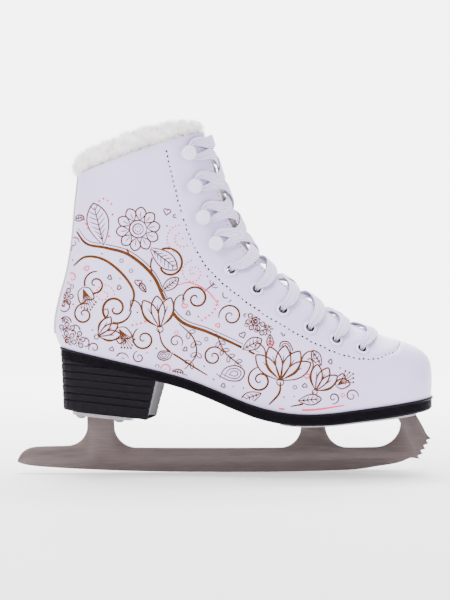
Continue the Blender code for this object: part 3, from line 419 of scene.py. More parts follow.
def under_facing(s, side, shift):
    """A point just inside the throat opening's edge, under the facing."""
    edge = throat_edge(s)
    _, _, _, _, length = half_section(s)
    point, normal, _, _ = surface_frame(s, side * (edge + shift / length))
    return point - normal * LACE_DEPTH, normal


def over_edge(s, side, height):
    """A point over the edge of the throat opening."""
    point, normal, _, _ = surface_frame(s, side * throat_edge(s))
    return point + normal * height, normal


def lace_half(rows, start_side):
    """The lace's route from the first eyelet on one side up to the last hook, as rows of point,
    the way its flat side faces, width and thickness."""
    route = []
    wide, thick = LACE_WIDTH, LACE_THICKNESS
    lift = LACE_CROSSING[0 if start_side < 0 else 1]
    side = start_side
    for k, (s, v, is_eyelet) in enumerate(rows):
        point, normal, throat, up = surface_frame(s, side * v)
        if k > 0:  # over the tongue from the other side
            last_s = rows[k - 1][0]
            route.append((*over_edge(last_s - (s - last_s) * LEAN, -side, 2.4), wide, thick))
            route.append((*crossing(last_s + (s - last_s) * 0.3, side, lift), wide, thick))
        if is_eyelet:
            inside = point - normal * LACE_DEPTH
            tight = [(point + normal * h, throat, *LACE_BUNCHED) for h in (-4.6, -1.8, 0.9)]
            under = (inside + throat * 1.8, normal + throat, 4.6, thick)
            if k > 0:  # down into the boot at the opening's edge
                for share, shift, wide_here in ((0.80, -4.2, 6.6), (0.88, -1.0, 6.6), (0.97, 3.5, 6.2)):
                    edge_s = last_s + (s - last_s) * share
                    route.append((*under_facing(edge_s, side, shift), wide_here, thick))
            route += [under] + tight
            beside = point + normal * 2.9 + throat * 2.0
            route.append((beside, normal - throat * 0.4, LACE_BY_EYELET, thick))
            route.append((point + normal * 2.7 + throat * 6.5 - up * 2.2, normal, 7.4, thick))
        else:
            neck = point + normal * HOOK_NECK_HEIGHT
            away = neck - normal * 0.3
            route.append((*over_edge(last_s + (s - last_s) * 0.76, side, 2.3), 8.0, thick))
            route.append((away + throat * 5.6 - up * 4.2, normal, 5.0, thick))
            for degrees in (-60, -105, -150, 180, 150, 105, 60):
                a = math.radians(degrees)
                out = throat * math.cos(a) + up * math.sin(a)
                route.append((neck + out * (HOOK_NECK + GAP + 0.95), out, 2.7, 1.6))
            route.append((away + throat * 5.0 + up * 5.0, normal, 5.0, thick))
        side = -side
    return route, side


def lace_tail(side):
    """Where the lace ends: across the tongue's top and down inside the boot on the far side."""
    cross, cross_normal = crossing(19.55, side, LACE_CROSSING[0 if side > 0 else 1])
    route = [(*over_edge(19.45, -side, 1.9), LACE_WIDTH, LACE_THICKNESS)]
    route.append((cross, cross_normal, LACE_WIDTH, LACE_THICKNESS))
    for s, shift in ((19.2, -3.2), (18.5, 5.0), (17.7, 8.0), (17.0, 8.5)):
        place, normal = under_facing(s, side, shift)
        route.append((place, normal, 7.0, LACE_THICKNESS))
    return route


# ---------------------------------------------------------------- camera, light and floor

SCENE = bpy.context.scene
RNG = np.random.default_rng(11)

camera_data = bpy.data.cameras.new("camera")
camera_data.lens = 101.4
camera_data.sensor_width = 36.0
camera_data.clip_end = 50.0
camera = bpy.data.objects.new("camera", camera_data)
camera.location = (0.0, -1.2, 0.122)
camera.rotation_euler = (math.radians(90), 0.0, 0.0)
SCENE.collection.objects.link(camera)
SCENE.camera = camera


def area_light(name, place, aim, size, watts, colour=(1.0, 1.0, 1.0)):
    data = bpy.data.lights.new(name, "AREA")
    data.shape = "RECTANGLE"
    data.size, data.size_y = size
    data.energy = watts
    data.color = colour
    light = bpy.data.objects.new(name, data)
    light.location = place
    light.rotation_euler = (Vector(aim) - Vector(place)).to_track_quat("-Z", "Y").to_euler()
    SCENE.collection.objects.link(light)


area_light("key", (-0.75, -1.1, 0.95), (0.0, 0.0, 0.12), (0.9, 0.9), 36.0)
area_light("fill", (1.1, -0.9, 0.5), (0.0, 0.0, 0.1), (0.9, 0.9), 11.0, (0.96, 0.95, 1.0))
area_light("top", (0.1, 0.2, 1.3), (0.0, 0.0, 0.1), (1.2, 0.9), 19.0)
area_light("back", (0.2, 1.2, 0.9), (0.0, 0.0, 0.12), (1.2, 0.8), 14.0)
area_light("backdrop", (0.0, 1.1, 2.0), (0.0, 2.6, 0.4), (2.4, 0.8), 260.0)
world = bpy.data.worlds.new("studio")
world.use_nodes = True
world.node_tree.nodes["Background"].inputs["Color"].default_value = (0.97, 0.965, 1.0, 1.0)
world.node_tree.nodes["Background"].inputs["Strength"].default_value = 0.85
SCENE.world = world

# ---------------------------------------------------------------- materials


def colour_of(*rgb):
    """Linear light from a colour as seen on a screen."""
    return tuple(c / 12.92 if c < 0.04045 else ((c + 0.055) / 1.055) ** 2.4 for c in rgb) + (1.0,)


def material(name, rgb, rough, metallic=0.0, **more):
    made = bpy.data.materials.new(name)
    made.use_nodes = True
    shader = made.node_tree.nodes["Principled BSDF"]
    shader.inputs["Base Color"].default_value = colour_of(*rgb)
    shader.inputs["Roughness"].default_value = rough
    shader.inputs["Metallic"].default_value = metallic
    for key, value in more.items():
        shader.inputs[key.replace("_", " ")].default_value = value
    return made


def textured(made, kind, scale, bump, colours=None, rough=None, stretch=(1, 1, 1), detail=4.0):
    """Adds a bump from a noise or cell pattern, and optional ranges of colour and roughness."""
    nodes, links = made.node_tree.nodes, made.node_tree.links
    shader = nodes["Principled BSDF"]
    where = nodes.new("ShaderNodeTexCoord")
    mapping = nodes.new("ShaderNodeMapping")
    mapping.inputs["Scale"].default_value = stretch
    links.new(where.outputs["Object"], mapping.inputs["Vector"])
    if kind == "cells":
        pattern = nodes.new("ShaderNodeTexVoronoi")
        value = pattern.outputs["Distance"]
    else:
        pattern = nodes.new("ShaderNodeTexNoise")
        pattern.inputs["Detail"].default_value = detail
        value = pattern.outputs["Fac"]
    pattern.inputs["Scale"].default_value = scale
    links.new(mapping.outputs["Vector"], pattern.inputs["Vector"])
    if bump:
        node = nodes.new("ShaderNodeBump")
        node.inputs["Strength"].default_value = bump
        node.inputs["Distance"].default_value = 0.0003
        links.new(value, node.inputs["Height"])
        links.new(node.outputs["Normal"], shader.inputs["Normal"])
    if colours:
        ramp = nodes.new("ShaderNodeValToRGB")
        ramp.color_ramp.elements[0].position, ramp.color_ramp.elements[1].position = 0.3, 0.7
        ramp.color_ramp.elements[0].color = colour_of(*colours[0])
        ramp.color_ramp.elements[1].color = colour_of(*colours[1])
        links.new(value, ramp.inputs["Fac"])
        links.new(ramp.outputs["Color"], shader.inputs["Base Color"])
    if rough:
        spread = nodes.new("ShaderNodeMapRange")
        spread.inputs["To Min"].default_value, spread.inputs["To Max"].default_value = rough
        links.new(value, spread.inputs["Value"])
        links.new(spread.outputs["Result"], shader.inputs["Roughness"])
    return made


LEATHERETTE = textured(
    material("leatherette", (0.805, 0.755, 0.905), 0.40), "cells", 900.0, 0.10,
)
TRIM = textured(material("trim", (0.70, 0.66, 0.63), 0.6), "noise", 900.0, 0.3)
FUR_HAIR = textured(
    material("fur_hair", (0.95, 0.94, 0.95), 0.9), "noise", 55.0, 0.0,
    colours=((0.965, 0.94, 0.92), (0.985, 0.98, 0.99)), detail=2.0,
)
FLEECE = textured(
    material("fleece_wool", (0.93, 0.90, 0.87), 0.95), "noise", 260.0, 0.5,
    colours=((0.86, 0.82, 0.79), (0.95, 0.92, 0.90)), detail=3.0,
)
LINING_WOOL = textured(
    material("lining_wool", (0.90, 0.88, 0.87), 0.95), "noise", 420.0, 0.6,
    colours=((0.80, 0.77, 0.75), (0.92, 0.90, 0.89)),
)
LACE_YARN = textured(material("lace_yarn", (0.90, 0.87, 0.95), 0.85), "noise", 1500.0, 0.25)
# Painted shade for the valleys between the lace's ribs.
LACE_VALLEY_SHADE = material("lace_valley_painted_shade", (0.66, 0.62, 0.76), 0.95)
ENAMEL = material("enamel", (0.86, 0.83, 0.92), 0.33)
# Painted shade inside the eyelets' holes.
BORE_SHADE = material("eyelet_bore_painted_shade", (0.16, 0.15, 0.20), 0.6)
THREAD = material("thread", (0.90, 0.89, 0.93), 0.75)
# A dark colour of painted shade, for the stitch holes and the screws' cross recesses.
HOLE_SHADE = material("stitch_hole_painted_shade", (0.10, 0.09, 0.14), 0.9)
GOLD = textured(
    material("gold_print", (0.31, 0.16, 0.02), 0.5, Specular_IOR_Level=0.12), "noise", 130.0, 0.0,
    colours=((0.27, 0.135, 0.014), (0.35, 0.185, 0.024)),
)
PINK = material("pink_print", (0.84, 0.20, 0.34), 0.5)
RUBBER = textured(
    material("rubber", (0.045, 0.035, 0.055), 0.5, Specular_IOR_Level=0.08), "noise", 700.0, 0.12,
)
RUBBER_GLOSS = material("rubber_gloss", (0.055, 0.045, 0.065), 0.3, Specular_IOR_Level=0.06)
STEEL = textured(
    material("brushed_steel", (0.38, 0.34, 0.335), 0.36, 1.0), "noise", 60.0, 0.06,
    colours=((0.355, 0.315, 0.31), (0.39, 0.348, 0.342)), rough=(0.32, 0.42), stretch=(1.0, 1.0, 18.0),
)
PLATED = textured(
    material("plated_steel", (0.56, 0.55, 0.56), 0.25, 1.0), "noise", 240.0, 0.04, rough=(0.2, 0.34),
)
STIFF = textured(material("stiff_fibre", (0.80, 0.78, 0.76), 0.8), "noise", 500.0, 0.3)
BOARD_FIBRE = textured(
    material("board_fibre", (0.62, 0.52, 0.40), 0.85), "noise", 300.0, 0.3,
    colours=((0.55, 0.45, 0.33), (0.68, 0.58, 0.46)),
)
TIP = material("lace_tip", (0.92, 0.93, 0.95), 0.2, 0.0, Coat_Weight=0.6)
FLOOR = material("floor", (0.985, 0.98, 0.99), 0.85)

# ---------------------------------------------------------------- building meshes


def new_piece(name, points, faces, look, body="boot", stands_for=(), weld=0.0, smooth=True):
    """A piece from points in millimetres, riding on a body of the frame."""
    mesh = bpy.data.meshes.new(name)
    mesh.from_pydata((np.asarray(points, float) * MM).tolist(), [], faces)
    if weld:
        work = bmesh.new()
        work.from_mesh(mesh)
        bmesh.ops.remove_doubles(work, verts=work.verts, dist=weld * MM)
        work.to_mesh(mesh)
        work.free()
    mesh.materials.append(look)
    if smooth:
        mesh.shade_smooth()
    obj = bpy.data.objects.new(name, mesh)
    SCENE.collection.objects.link(obj)
    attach(obj, body)
    if stands_for:
        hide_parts(*stands_for)
    return obj


def grid_faces(rows, columns, start=0, ring_closed=False, flip=False):
    """Quads of a grid of points, with its last column joined to its first if ring_closed."""
    i = np.arange(rows - 1)[:, None]
    j = np.arange(columns if ring_closed else columns - 1)[None, :]
    k = (j + 1) % columns
    quad = [i * columns + j, i * columns + k, (i + 1) * columns + k, (i + 1) * columns + j]
    quad = np.stack(np.broadcast_arrays(*quad), axis=-1).reshape(-1, 4) + start
    return (quad[:, ::-1] if flip else quad).tolist()


def sheet_faces(rows, columns):
    """A thin sheet from two grids of points, its face and then its back, with a rim round both."""
    count = rows * columns
    faces = grid_faces(rows, columns) + grid_faces(rows, columns, count, flip=True)
    rim = list(range(columns)) + [i * columns + columns - 1 for i in range(1, rows)]
    rim += [(rows - 1) * columns + j for j in range(columns - 2, -1, -1)]
    rim += [i * columns for i in range(rows - 2, 0, -1)]
    return faces + [(a, a + count, b + count, b) for a, b in zip(rim, rim[1:] + rim[:1])]


def cap_across(count, start, flip=False):
    """Strips across a closed outline whose two halves mirror each other."""
    faces = []
    for i in range(count // 2):
        face = [start + i, start + i + 1, start + count - i - 1, start + (count - i) % count]
        face = list(dict.fromkeys(face))
        faces.append(face[::-1] if flip else face)
    return faces


def wobble(points, scale, seed=0.0):
    """Smooth noise from -1 to 1 at points in millimetres."""
    flat = np.asarray(points, float).reshape(-1, 3) / scale + seed
    found = np.array([noise.noise(Vector(p)) for p in flat])
    return found.reshape(np.asarray(points).shape[:-1])


def turned(name, profile, place, axis, look, stands_for=(), sides=40):
    """A turned piece from (radius, height) points, from its top down."""
    profile = np.array(profile, float)
    angle = np.linspace(0.0, 2 * math.pi, sides, endpoint=False)
    local = np.stack(
        [
            profile[:, :1] * np.cos(angle),
            profile[:, :1] * np.sin(angle),
            np.repeat(profile[:, 1:], sides, axis=1),
        ],
        axis=-1,
    ).reshape(-1, 3)
    turn = np.array(Vector(axis).to_track_quat("Z", "Y").to_matrix())
    points = local @ turn.T + np.asarray(place)
    faces = grid_faces(len(profile), sides, ring_closed=True, flip=True)
    return new_piece(name, points, faces, look, stands_for=stands_for, weld=0.004)


def rounded(points, sharp, rounds):
    """A closed outline with its gentle corners cut finer and its sharp ones kept."""
    points = [np.array(p, float) for p in points]
    for _ in range(rounds):
        finer = []
        for k, here in enumerate(points):
            before, after = points[k - 1], points[(k + 1) % len(points)]
            a, b = here - before, after - here
            turn = math.degrees(abs(math.atan2(a[0] * b[1] - a[1] * b[0], a @ b)))
            if turn > sharp or turn < 0.5:
                finer.append(here)
            else:
                finer += [here - a * 0.25, here + b * 0.25]
        points = finer
    return np.array(points)


# ---------------------------------------------------------------- the boot's fine skin

FINE_ROWS = np.concatenate(
    [
        np.linspace(0.0, 1.0, 14)[:-1] ** 1.3,
        np.linspace(1.0, THROAT, 54),
        THROAT + np.array([0.02, 0.05, 0.09, 0.14, 0.2, 0.27]),
        np.linspace(THROAT + 0.35, TOP_STATION, 168),
    ]
)
FINE_COLUMNS = 84
HOLE_RADIUS = 3.7  # of the holes left for the eyelets


def fine_skin():
    """Points and outward normals of the boot's outer surface for each side, with the v of each."""
    points, normals = {}, {}
    shares = np.array([np.linspace(throat_edge(s), 1.0, FINE_COLUMNS) for s in FINE_ROWS])
    for side in (-1.0, 1.0):
        rows = []
        for s, v in zip(FINE_ROWS, shares):
            x, z, out, along, _ = half_section(s)
            y = middle_y(s) + side * np.interp(v, along, out)
            rows.append(np.stack([np.interp(v, along, x), y, np.interp(v, along, z)], axis=1))
        points[side] = np.array(rows)
        across, along_rows = np.gradient(points[side], axis=1), np.gradient(points[side], axis=0)
        normals[side] = np.cross(across, along_rows) * side
    open_from = int(np.searchsorted(FINE_ROWS, THROAT, side="right"))
    for seam in (np.s_[:, -1], np.s_[:open_from, 0], np.s_[0, :]):
        both = normals[-1.0][seam] + normals[1.0][seam]
        normals[-1.0][seam] = normals[1.0][seam] = both
    for side in (-1.0, 1.0):
        length = np.linalg.norm(normals[side], axis=2)[:, :, None]
        normals[side] = normals[side] / np.maximum(length, 1e-9)
    return points, normals, shares, open_from


SKIN, SKIN_NORMALS, SKIN_V, OPEN_FROM = fine_skin()
LACING = [(*locate(x, z), k < len(EYELETS)) for k, (x, z) in enumerate(EYELETS + HOOKS)]
HOLES = [
    surface_frame(s, side * v)[:2] for s, v, is_eyelet in LACING if is_eyelet for side in (-1, 1)
]


def skin_at(x, z, side=-1.0):
    """The station and the v of the skin's point seen at x, z from the side."""
    flat = SKIN[side]
    miss = (flat[:, :, 0] - x) ** 2 + (flat[:, :, 2] - z) ** 2 + 1e9 * (SKIN_V > 0.62)
    i, j = np.unravel_index(int(np.argmin(miss)), miss.shape)
    return float(FINE_ROWS[i]), float(SKIN_V[i, j])


def wall(name, near, far, rise, look, slot, stands_for, step=1, lowest=1.5):
    """A closed layer of the boot's wall between two depths. rise is how much each point of its
    face stands out, by side. Faces around the eyelets and lower than lowest over the sole's top
    are left out."""
    points, faces = [], []
    rows, columns = SKIN[1.0][::step, ::step].shape[:2]
    for side in (-1.0, 1.0):
        p, n = SKIN[side][::step, ::step], SKIN_NORMALS[side][::step, ::step]
        up = rise[side][::step, ::step][:, :, None]
        for depth, lifted, flip in ((near, 1.0, side < 0), (far, 0.0, side > 0)):
            start = len(points)
            layer_points = (p - n * depth + n * up * lifted).reshape(-1, 3)
            points += list(layer_points)
            quads = np.array(grid_faces(rows, columns, flip=flip))
            middle = layer_points[quads].mean(axis=1)
            keep = middle[:, 2] > sole_top(middle[:, 0]) - lowest
            for centre, axis in HOLES:
                away = middle - centre
                height = away @ axis
                off = np.linalg.norm(away - height[:, None] * axis, axis=1)
                keep &= (off > HOLE_RADIUS) | (np.abs(height) > 12.0)
            faces += (quads[keep] + start).tolist()
        outer, inner = len(points) - 2 * rows * columns, len(points) - rows * columns
        first_open = OPEN_FROM // step
        edge = [i * columns for i in range(first_open, rows)]
        edge += [(rows - 1) * columns + j for j in range(1, columns)]
        for a, b in zip(edge, edge[1:]):
            face = [outer + a, outer + b, inner + b, inner + a]
            faces.append(face if side < 0 else face[::-1])
    return new_piece(name, points, faces, look, stands_for=stands_for, weld=0.01)


# The stitch line along the facing and round the front of the throat, seen from the side.
STITCH_LINE = (
    (-40.9, 228.0), (-37.0, 209.5), (-32.2, 190.2), (-26.2, 171.0), (-15.3, 149.0), (3.6, 128.9),
    (31.8, 109.4), (60.0, 93.2), (79.4, 84.9), (96.0, 81.4), (107.5, 82.2), (115.0, 85.6),
)
STITCH_FRONT = 4.15  # the station where it crosses the middle


def stitch_route():
    """The stitch line as (s, v) points from the collar round the front of the throat."""
    route = []
    keys = [(i, *p) for i, p in enumerate(STITCH_LINE)]
    fine = through(keys, np.linspace(0, len(STITCH_LINE) - 1, 90))
    for x, z in fine:
        route.append(skin_at(x, z))
    route = np.array(route)
    kernel = np.ones(7) / 7
    padded = np.pad(route, ((3, 3), (0, 0)), mode="edge")
    route = np.stack([np.convolve(padded[:, k], kernel, "valid") for k in (0, 1)], axis=1)
    s_end, v_end = route[-1]
    turn = np.linspace(0.0, math.pi / 2, 22)[1:]
    front = [(s_end - (s_end - STITCH_FRONT) * math.sin(a), v_end * math.cos(a)) for a in turn]
    return np.concatenate([route, front])


STITCHES = stitch_route()


def on_route(route, side, pitch):
    """Evenly spaced places on a route over the skin: point, normal and direction."""
    line = [surface_frame(s, side * max(v, 0.001)) for s, v in route]
    places = np.array([row[0] for row in line])
    normal = np.array([row[1] for row in line])
    along = distances(places)
    at = np.arange(0.0, along[-1], pitch)
    found, facing = sampled(places, along, at), unit(sampled(normal, along, at))
    heading = np.gradient(found, axis=0)
    heading -= facing * (heading * facing).sum(axis=1)[:, None]
    return found, facing, unit(heading)


def edge_route(offset):
    """A route a set distance outside the throat's edge, from the collar to the front."""
    route = []
    for s in np.linspace(TOP_STATION, THROAT + 0.12, 130):
        route.append((s, throat_edge(s) + offset / half_section(s)[4]))
    s_end, v_end = route[-1]
    for a in np.linspace(0.0, math.pi / 2, 10)[1:]:
        drop = offset * 0.045
        route.append((s_end - drop * math.sin(a), v_end * math.cos(a)))
    return np.array(route)


def leather_relief():
    """How far each point of the leather stands out: grooves under the stitching and soft creases."""
    rise = {}
    for side in (-1.0, 1.0):
        p = SKIN[side]
        line = on_route(STITCHES, side, 1.0)[0]
        near = np.full(p.shape[:2], 99.0)
        for q in line:
            near = np.minimum(near, np.linalg.norm(p - q, axis=2))
        groove = -0.55 * np.exp(-((near / 1.3) ** 2)) + 0.22 * np.exp(-(((near - 3.4) / 2.2) ** 2))
        creases = 0.30 * wobble(p, 17.0) + 0.12 * wobble(p, 7.0, 9.0)
        ankle = np.exp(-(((FINE_ROWS - 11.0) / 4.5) ** 2))[:, None]
        sides_only = np.clip((0.97 - SKIN_V) / 0.2, 0.0, 1.0)
        pressed = np.zeros(near.shape)
        for centre, _ in HOLES:
            off = np.linalg.norm(p - centre, axis=2)
            pressed -= 0.45 * np.exp(-(((off - 5.3) / 0.8) ** 2))
        rise[side] = groove + pressed + creases * (0.35 + 0.65 * ankle) * sides_only
    for seam in (np.s_[:, -1], np.s_[:OPEN_FROM, 0], np.s_[0, :]):
        both = (rise[-1.0][seam] + rise[1.0][seam]) / 2
        rise[-1.0][seam] = rise[1.0][seam] = both
    return rise


UPPER = wall(
    "fine_upper", *LEATHER, leather_relief(), LEATHERETTE, "white_leather", ("upper_shell",)
)
UPPER_TREE = BVHTree.FromPolygons(
    [v.co / MM for v in UPPER.data.vertices], [p.vertices for p in UPPER.data.polygons]
)

fleece_rise = {side: 0.5 * wobble(SKIN[side], 3.2, 4.0) for side in (-1.0, 1.0)}
for _seam in (np.s_[:, -1], np.s_[:OPEN_FROM, 0]):
    fleece_rise[-1.0][_seam] = fleece_rise[1.0][_seam]
wall(
    "fine_lining", LINING[0] + 0.2, LINING[1], fleece_rise, LINING_WOOL, "fleece", ("lining",),
    step=2, lowest=-3.0,
)


def make_backstay():
    """The strip down the back seam, with rounded edges."""
    rows = np.linspace(14.6, TOP_STATION, 90)
    across = np.linspace(-1.0, 1.0, 17)
    points = []
    for level in (0, 1):
        for s in rows:
            length = half_section(s)[4]
            for t in across:
                v = 1.0 - abs(t) * BACKSTAY_HALF_WIDTH / length
                point, normal, _, _ = surface_frame(s, math.copysign(min(v, 0.9995), t if t else 1))
                high = -BACKSTAY[0] * (1 - 0.75 * abs(t) ** 6) if level == 0 else 0.05
                high -= 0.22 * math.exp(-(((abs(t) - 0.72) / 0.07) ** 2)) * (level == 0)
                points.append(point + normal * high)
    faces = sheet_faces(len(rows), len(across))
    new_piece("fine_backstay", points, faces, TRIM, stands_for=("backstay",))


make_backstay()

# ---------------------------------------------------------------- stitching


def stitches(name, route, pitch, size, hole):
    """Thread bars on a route on both sides, with a small dark dot of painted shade for the needle hole
    at each end of every bar.
    """
    bars, bar_faces, dots, dot_faces = [], [], [], []
    for side in (-1.0, 1.0):
        place, normal, heading = on_route(route, side, pitch)
        across = np.cross(normal, heading)
        for p, n, h, c in zip(place, normal, heading, across):
            found, _, _, _ = UPPER_TREE.find_nearest(Vector(p + n))
            p = np.array(found)
            start = len(bars)
            for f in np.linspace(-1.0, 1.0, 5):
                lift = 0.12 + size[1] * (1 - f * f)
                for a in np.linspace(0.0, 2 * math.pi, 6, endpoint=False):
                    ring_point = c * math.cos(a) * size[1] + n * math.sin(a) * size[1] * 0.7
                    bars.append(p + h * f * size[0] / 2 + n * (lift - 0.1) + ring_point)
            bar_faces += grid_faces(5, 6, start, ring_closed=True)
            # The dark dot between the bars is painted shade standing for the needle hole.
            start = len(dots)
            spot = p + h * pitch / 2
            for a in np.linspace(0.0, 2 * math.pi, 8, endpoint=False):
                dots.append(spot + (c * math.cos(a) * hole + h * math.sin(a) * hole * 1.25) + n * 0.05)
            dots.append(spot + n * 0.14)
            dot_faces += [(start + i, start + (i + 1) % 8, start + 8) for i in range(8)]
    new_piece(name + "_thread", bars, bar_faces, THREAD)
    new_piece(name + "_hole_shade", dots, dot_faces, HOLE_SHADE)


stitches("facing_stitch", STITCHES, 3.5, (1.7, 0.34), 0.72)
stitches("edge_stitch", edge_route(2.6), 3.0, (1.9, 0.28), 0.42)


# ---------------------------------------------------------------- printed line-art


INK_STEP = 0.9  # the length of a line's pieces
INK_SPREAD = 1.1  # how much wider the ink runs than the line drawn


class Print:
    """Thin raised lines of ink on the leather, drawn in the side view."""

    def __init__(self, side):
        self.side = side
        self.points, self.faces, self.drawn = [], [], []
        self.reserved = []

    def reserve(self, outline):
        """Keeps later lines and dots out of a closed outline."""
        outline = np.array(outline, float)
        middle = (outline.min(axis=0) + outline.max(axis=0)) / 2
        outline = middle + (outline - middle) * 1.06
        reach = float(np.linalg.norm(outline - middle, axis=1).max())
        self.reserved.append((*middle, reach, outline[::2].tolist()))

    def free(self, x, z):
        for mx, mz, reach, outline in self.reserved:
            if (x - mx) ** 2 + (z - mz) ** 2 < reach**2 and within(outline, x, z):
                return False
        return True

    def land(self, x, z):
        """Where the point seen at x, z lies on the leather, with its normal, or None."""
        if not within(PRINT_EDGE, x, z):
            return None
        start = Vector((x, 90.0 * self.side, z))
        hit, normal, _, _ = UPPER_TREE.ray_cast(start, Vector((0.0, -self.side, 0.0)), 95.0)
        if hit is None:
            return None
        if normal.y * self.side < 0:
            normal = -normal
        if normal.y * self.side < 0.12:
            return None
        return np.array(hit), np.array(normal)

    def line(self, path, wide=1.0, taper=True):
        """One brush line along a path of (x, z) points."""
        path = np.array(path, float)
        along = distances(path)
        count = max(4, int(along[-1] / INK_STEP))
        path = sampled(path, along, np.linspace(0.0, along[-1], count))
        heading = unit(np.gradient(path, axis=0), 1e-6)
        off = np.stack([-heading[:, 1], heading[:, 0]], axis=1)
        rows = []
        for k, (p, o) in enumerate(zip(path, off)):
            self.drawn.append(tuple(p))
            f = k / (count - 1)
            half = wide * INK_SPREAD / 2 * (0.45 + 0.55 * math.sin(math.pi * f) ** 0.5 if taper else 1.0)
            here = [None]
            if self.free(*p):
                here = [self.land(*(p + o * half * t)) for t in (-1.0, 0.0, 1.0)]
            if any(spot is None for spot in here):
                rows.append(None)
                continue
            rows.append([spot[0] + spot[1] * h for spot, h in zip(here, (0.05, 0.20, 0.05))])
        for a, b in zip(rows, rows[1:]):
            if a is None or b is None:
                continue
            start = len(self.points)
            self.points += a + b
            for k in (0, 1):
                face = (start + k, start + k + 1, start + k + 4, start + k + 3)
                self.faces.append(face if self.side < 0 else face[::-1])

    def dot(self, x, z, radius):
        """A filled dot."""
        middle = self.land(x, z) if self.free(x, z) else None
        self.drawn.append((x, z))
        if middle is None:
            return
        edge = []
        for a in np.linspace(0.0, 2 * math.pi, 12, endpoint=False):
            spot = self.land(x + radius * math.cos(a), z + radius * math.sin(a))
            if spot is None:
                return
            edge.append(spot[0] + spot[1] * 0.06)
        start = len(self.points)
        self.points += edge + [middle[0] + middle[1] * 0.25]
        for i in range(12):
            face = (start + i, start + (i + 1) % 12, start + 12)
            self.faces.append(face if self.side < 0 else face[::-1])


# The printed part of the side: behind the stitching, over the sole and before the toe.
PRINT_EDGE = [(x - 3.0, z - 3.0) for x, z in STITCH_LINE[1:9]] + [(92.0, 74.0), (96.0, 60.0)]
PRINT_EDGE += [(84.0, 47.0), (60.0, 45.5), (38.0, 46.5), (8.0, 55.5), (-24.0, 68.5)]
PRINT_EDGE += [(-60.0, 78.0), (-112.0, 91.0), (-118.0, 106.0), (-110.0, 140.0), (-104.5, 205.0)]
PRINT_EDGE += [(-60.0, 212.0)]


def within(outline, x, z):
    """True if x, z is inside a closed outline."""
    inside = False
    for (x1, z1), (x2, z2) in zip(outline, outline[1:] + outline[:1]):
        if (z1 > z) != (z2 > z) and x < x1 + (z - z1) / (z2 - z1) * (x2 - x1):
            inside = not inside
    return inside


def turn_path(path, at, degrees, size=1.0):
    """A path scaled, turned and moved to its place."""
    a = math.radians(degrees)
    spin = np.array(((math.cos(a), math.sin(a)), (-math.sin(a), math.cos(a))))
    return np.array(path) * size @ spin + np.array(at)


def smooth_path(*points, count=40):
    keys = [(i, *p) for i, p in enumerate(points)]
    return through(keys, np.linspace(0, len(points) - 1, count))


def spiral_path(centre, radius, turns, start, way=1, count=60):
    """A spiral that winds in from radius to its centre. start is the angle of its outer end."""
    f = np.linspace(0.0, 1.0, count)
    a = math.radians(start) + way * 2 * math.pi * turns * f
    r = radius * (1 - f) ** 0.85 + 0.4
    return np.stack([centre[0] + r * np.cos(a), centre[1] + r * np.sin(a)], axis=1)


def petal_path(length, wide, count=22):
    """A petal's outline along its own x, widest past its middle."""
    f = np.linspace(0.0, 1.0, count)
    half = wide / 2 * np.sin(math.pi * f) ** 0.8 * (0.7 + 0.6 * f)
    there = np.stack([length * f, half], axis=1)
    return np.concatenate([there, there[::-1] * (1, -1)])


def leaf(ink, at, degrees, length, wide, veins=5):
    """A leaf from its stem end, with its middle rib and side veins."""
    ink.line(turn_path(petal_path(length, wide), at, degrees), 0.9)
    ink.line(turn_path([(0, 0), (length * 0.9, 0)], at, degrees), 0.8)
    for k in range(veins):
        f = (k + 1.0) / (veins + 1.5)
        reach = wide * 0.36 * math.sin(math.pi * f)
        for sign in (1, -1):
            vein = [(length * f, 0), (length * (f + 0.13), sign * reach)]
            ink.line(turn_path(vein, at, degrees), 0.6)
    ink.reserve(turn_path(petal_path(length, wide), at, degrees))


def daisy(ink, at, radius, petals, spin):
    """A round flower with a ringed and dotted middle."""
    for k in range(petals):
        a = spin + 360 * k / petals
        root = turn_path([(radius * 0.42, 0)], at, a)[0]
        ink.line(turn_path(petal_path(radius * 0.6, radius * 0.46), root, a), 0.9)
        ink.line(turn_path([(radius * 0.5, 0), (radius * 0.8, 0)], at, a), 0.6)
    ink.line(circle_path(at, radius * 0.40), 0.9)
    ink.line(circle_path(at, radius * 0.24), 0.8)
    for k in range(7):
        a = 2 * math.pi * k / 7
        ink.dot(at[0] + radius * 0.12 * math.cos(a), at[1] + radius * 0.12 * math.sin(a), 0.45)
    ink.reserve(circle_path(at, radius * 1.0))


def circle_path(at, radius, count=30):
    a = np.linspace(0.0, 2 * math.pi, count)
    return np.stack([at[0] + radius * np.cos(a), at[1] + radius * np.sin(a)], axis=1)


def tulip(ink, at, degrees, size, petals=3):
    """A tulip standing on its stem end, with long pointed petals."""
    for k in range(petals):
        lean = (k - (petals - 1) / 2) * 26.0
        ink.line(turn_path(petal_path(size, size * 0.42), at, degrees + lean), 1.0)
        ink.line(turn_path([(size * 0.15, 0), (size * 0.72, 0)], at, degrees + lean), 0.7)
    for sign in (1, -1):
        curl = [(0, 0), (size * 0.3, sign * size * 0.42), (size * 0.8, sign * size * 0.56)]
        curl += [(size * 0.95, sign * size * 0.8), (size * 0.75, sign * size * 0.86)]
        ink.line(turn_path(smooth_path(*curl), at, degrees), 1.0)
    ink.line(turn_path(circle_path((-1.2, 0), size * 0.10, 16), at, degrees), 0.8)
    for k in range(petals):
        lean = (k - (petals - 1) / 2) * 26.0
        ink.reserve(turn_path(petal_path(size, size * 0.42), at, degrees + lean))


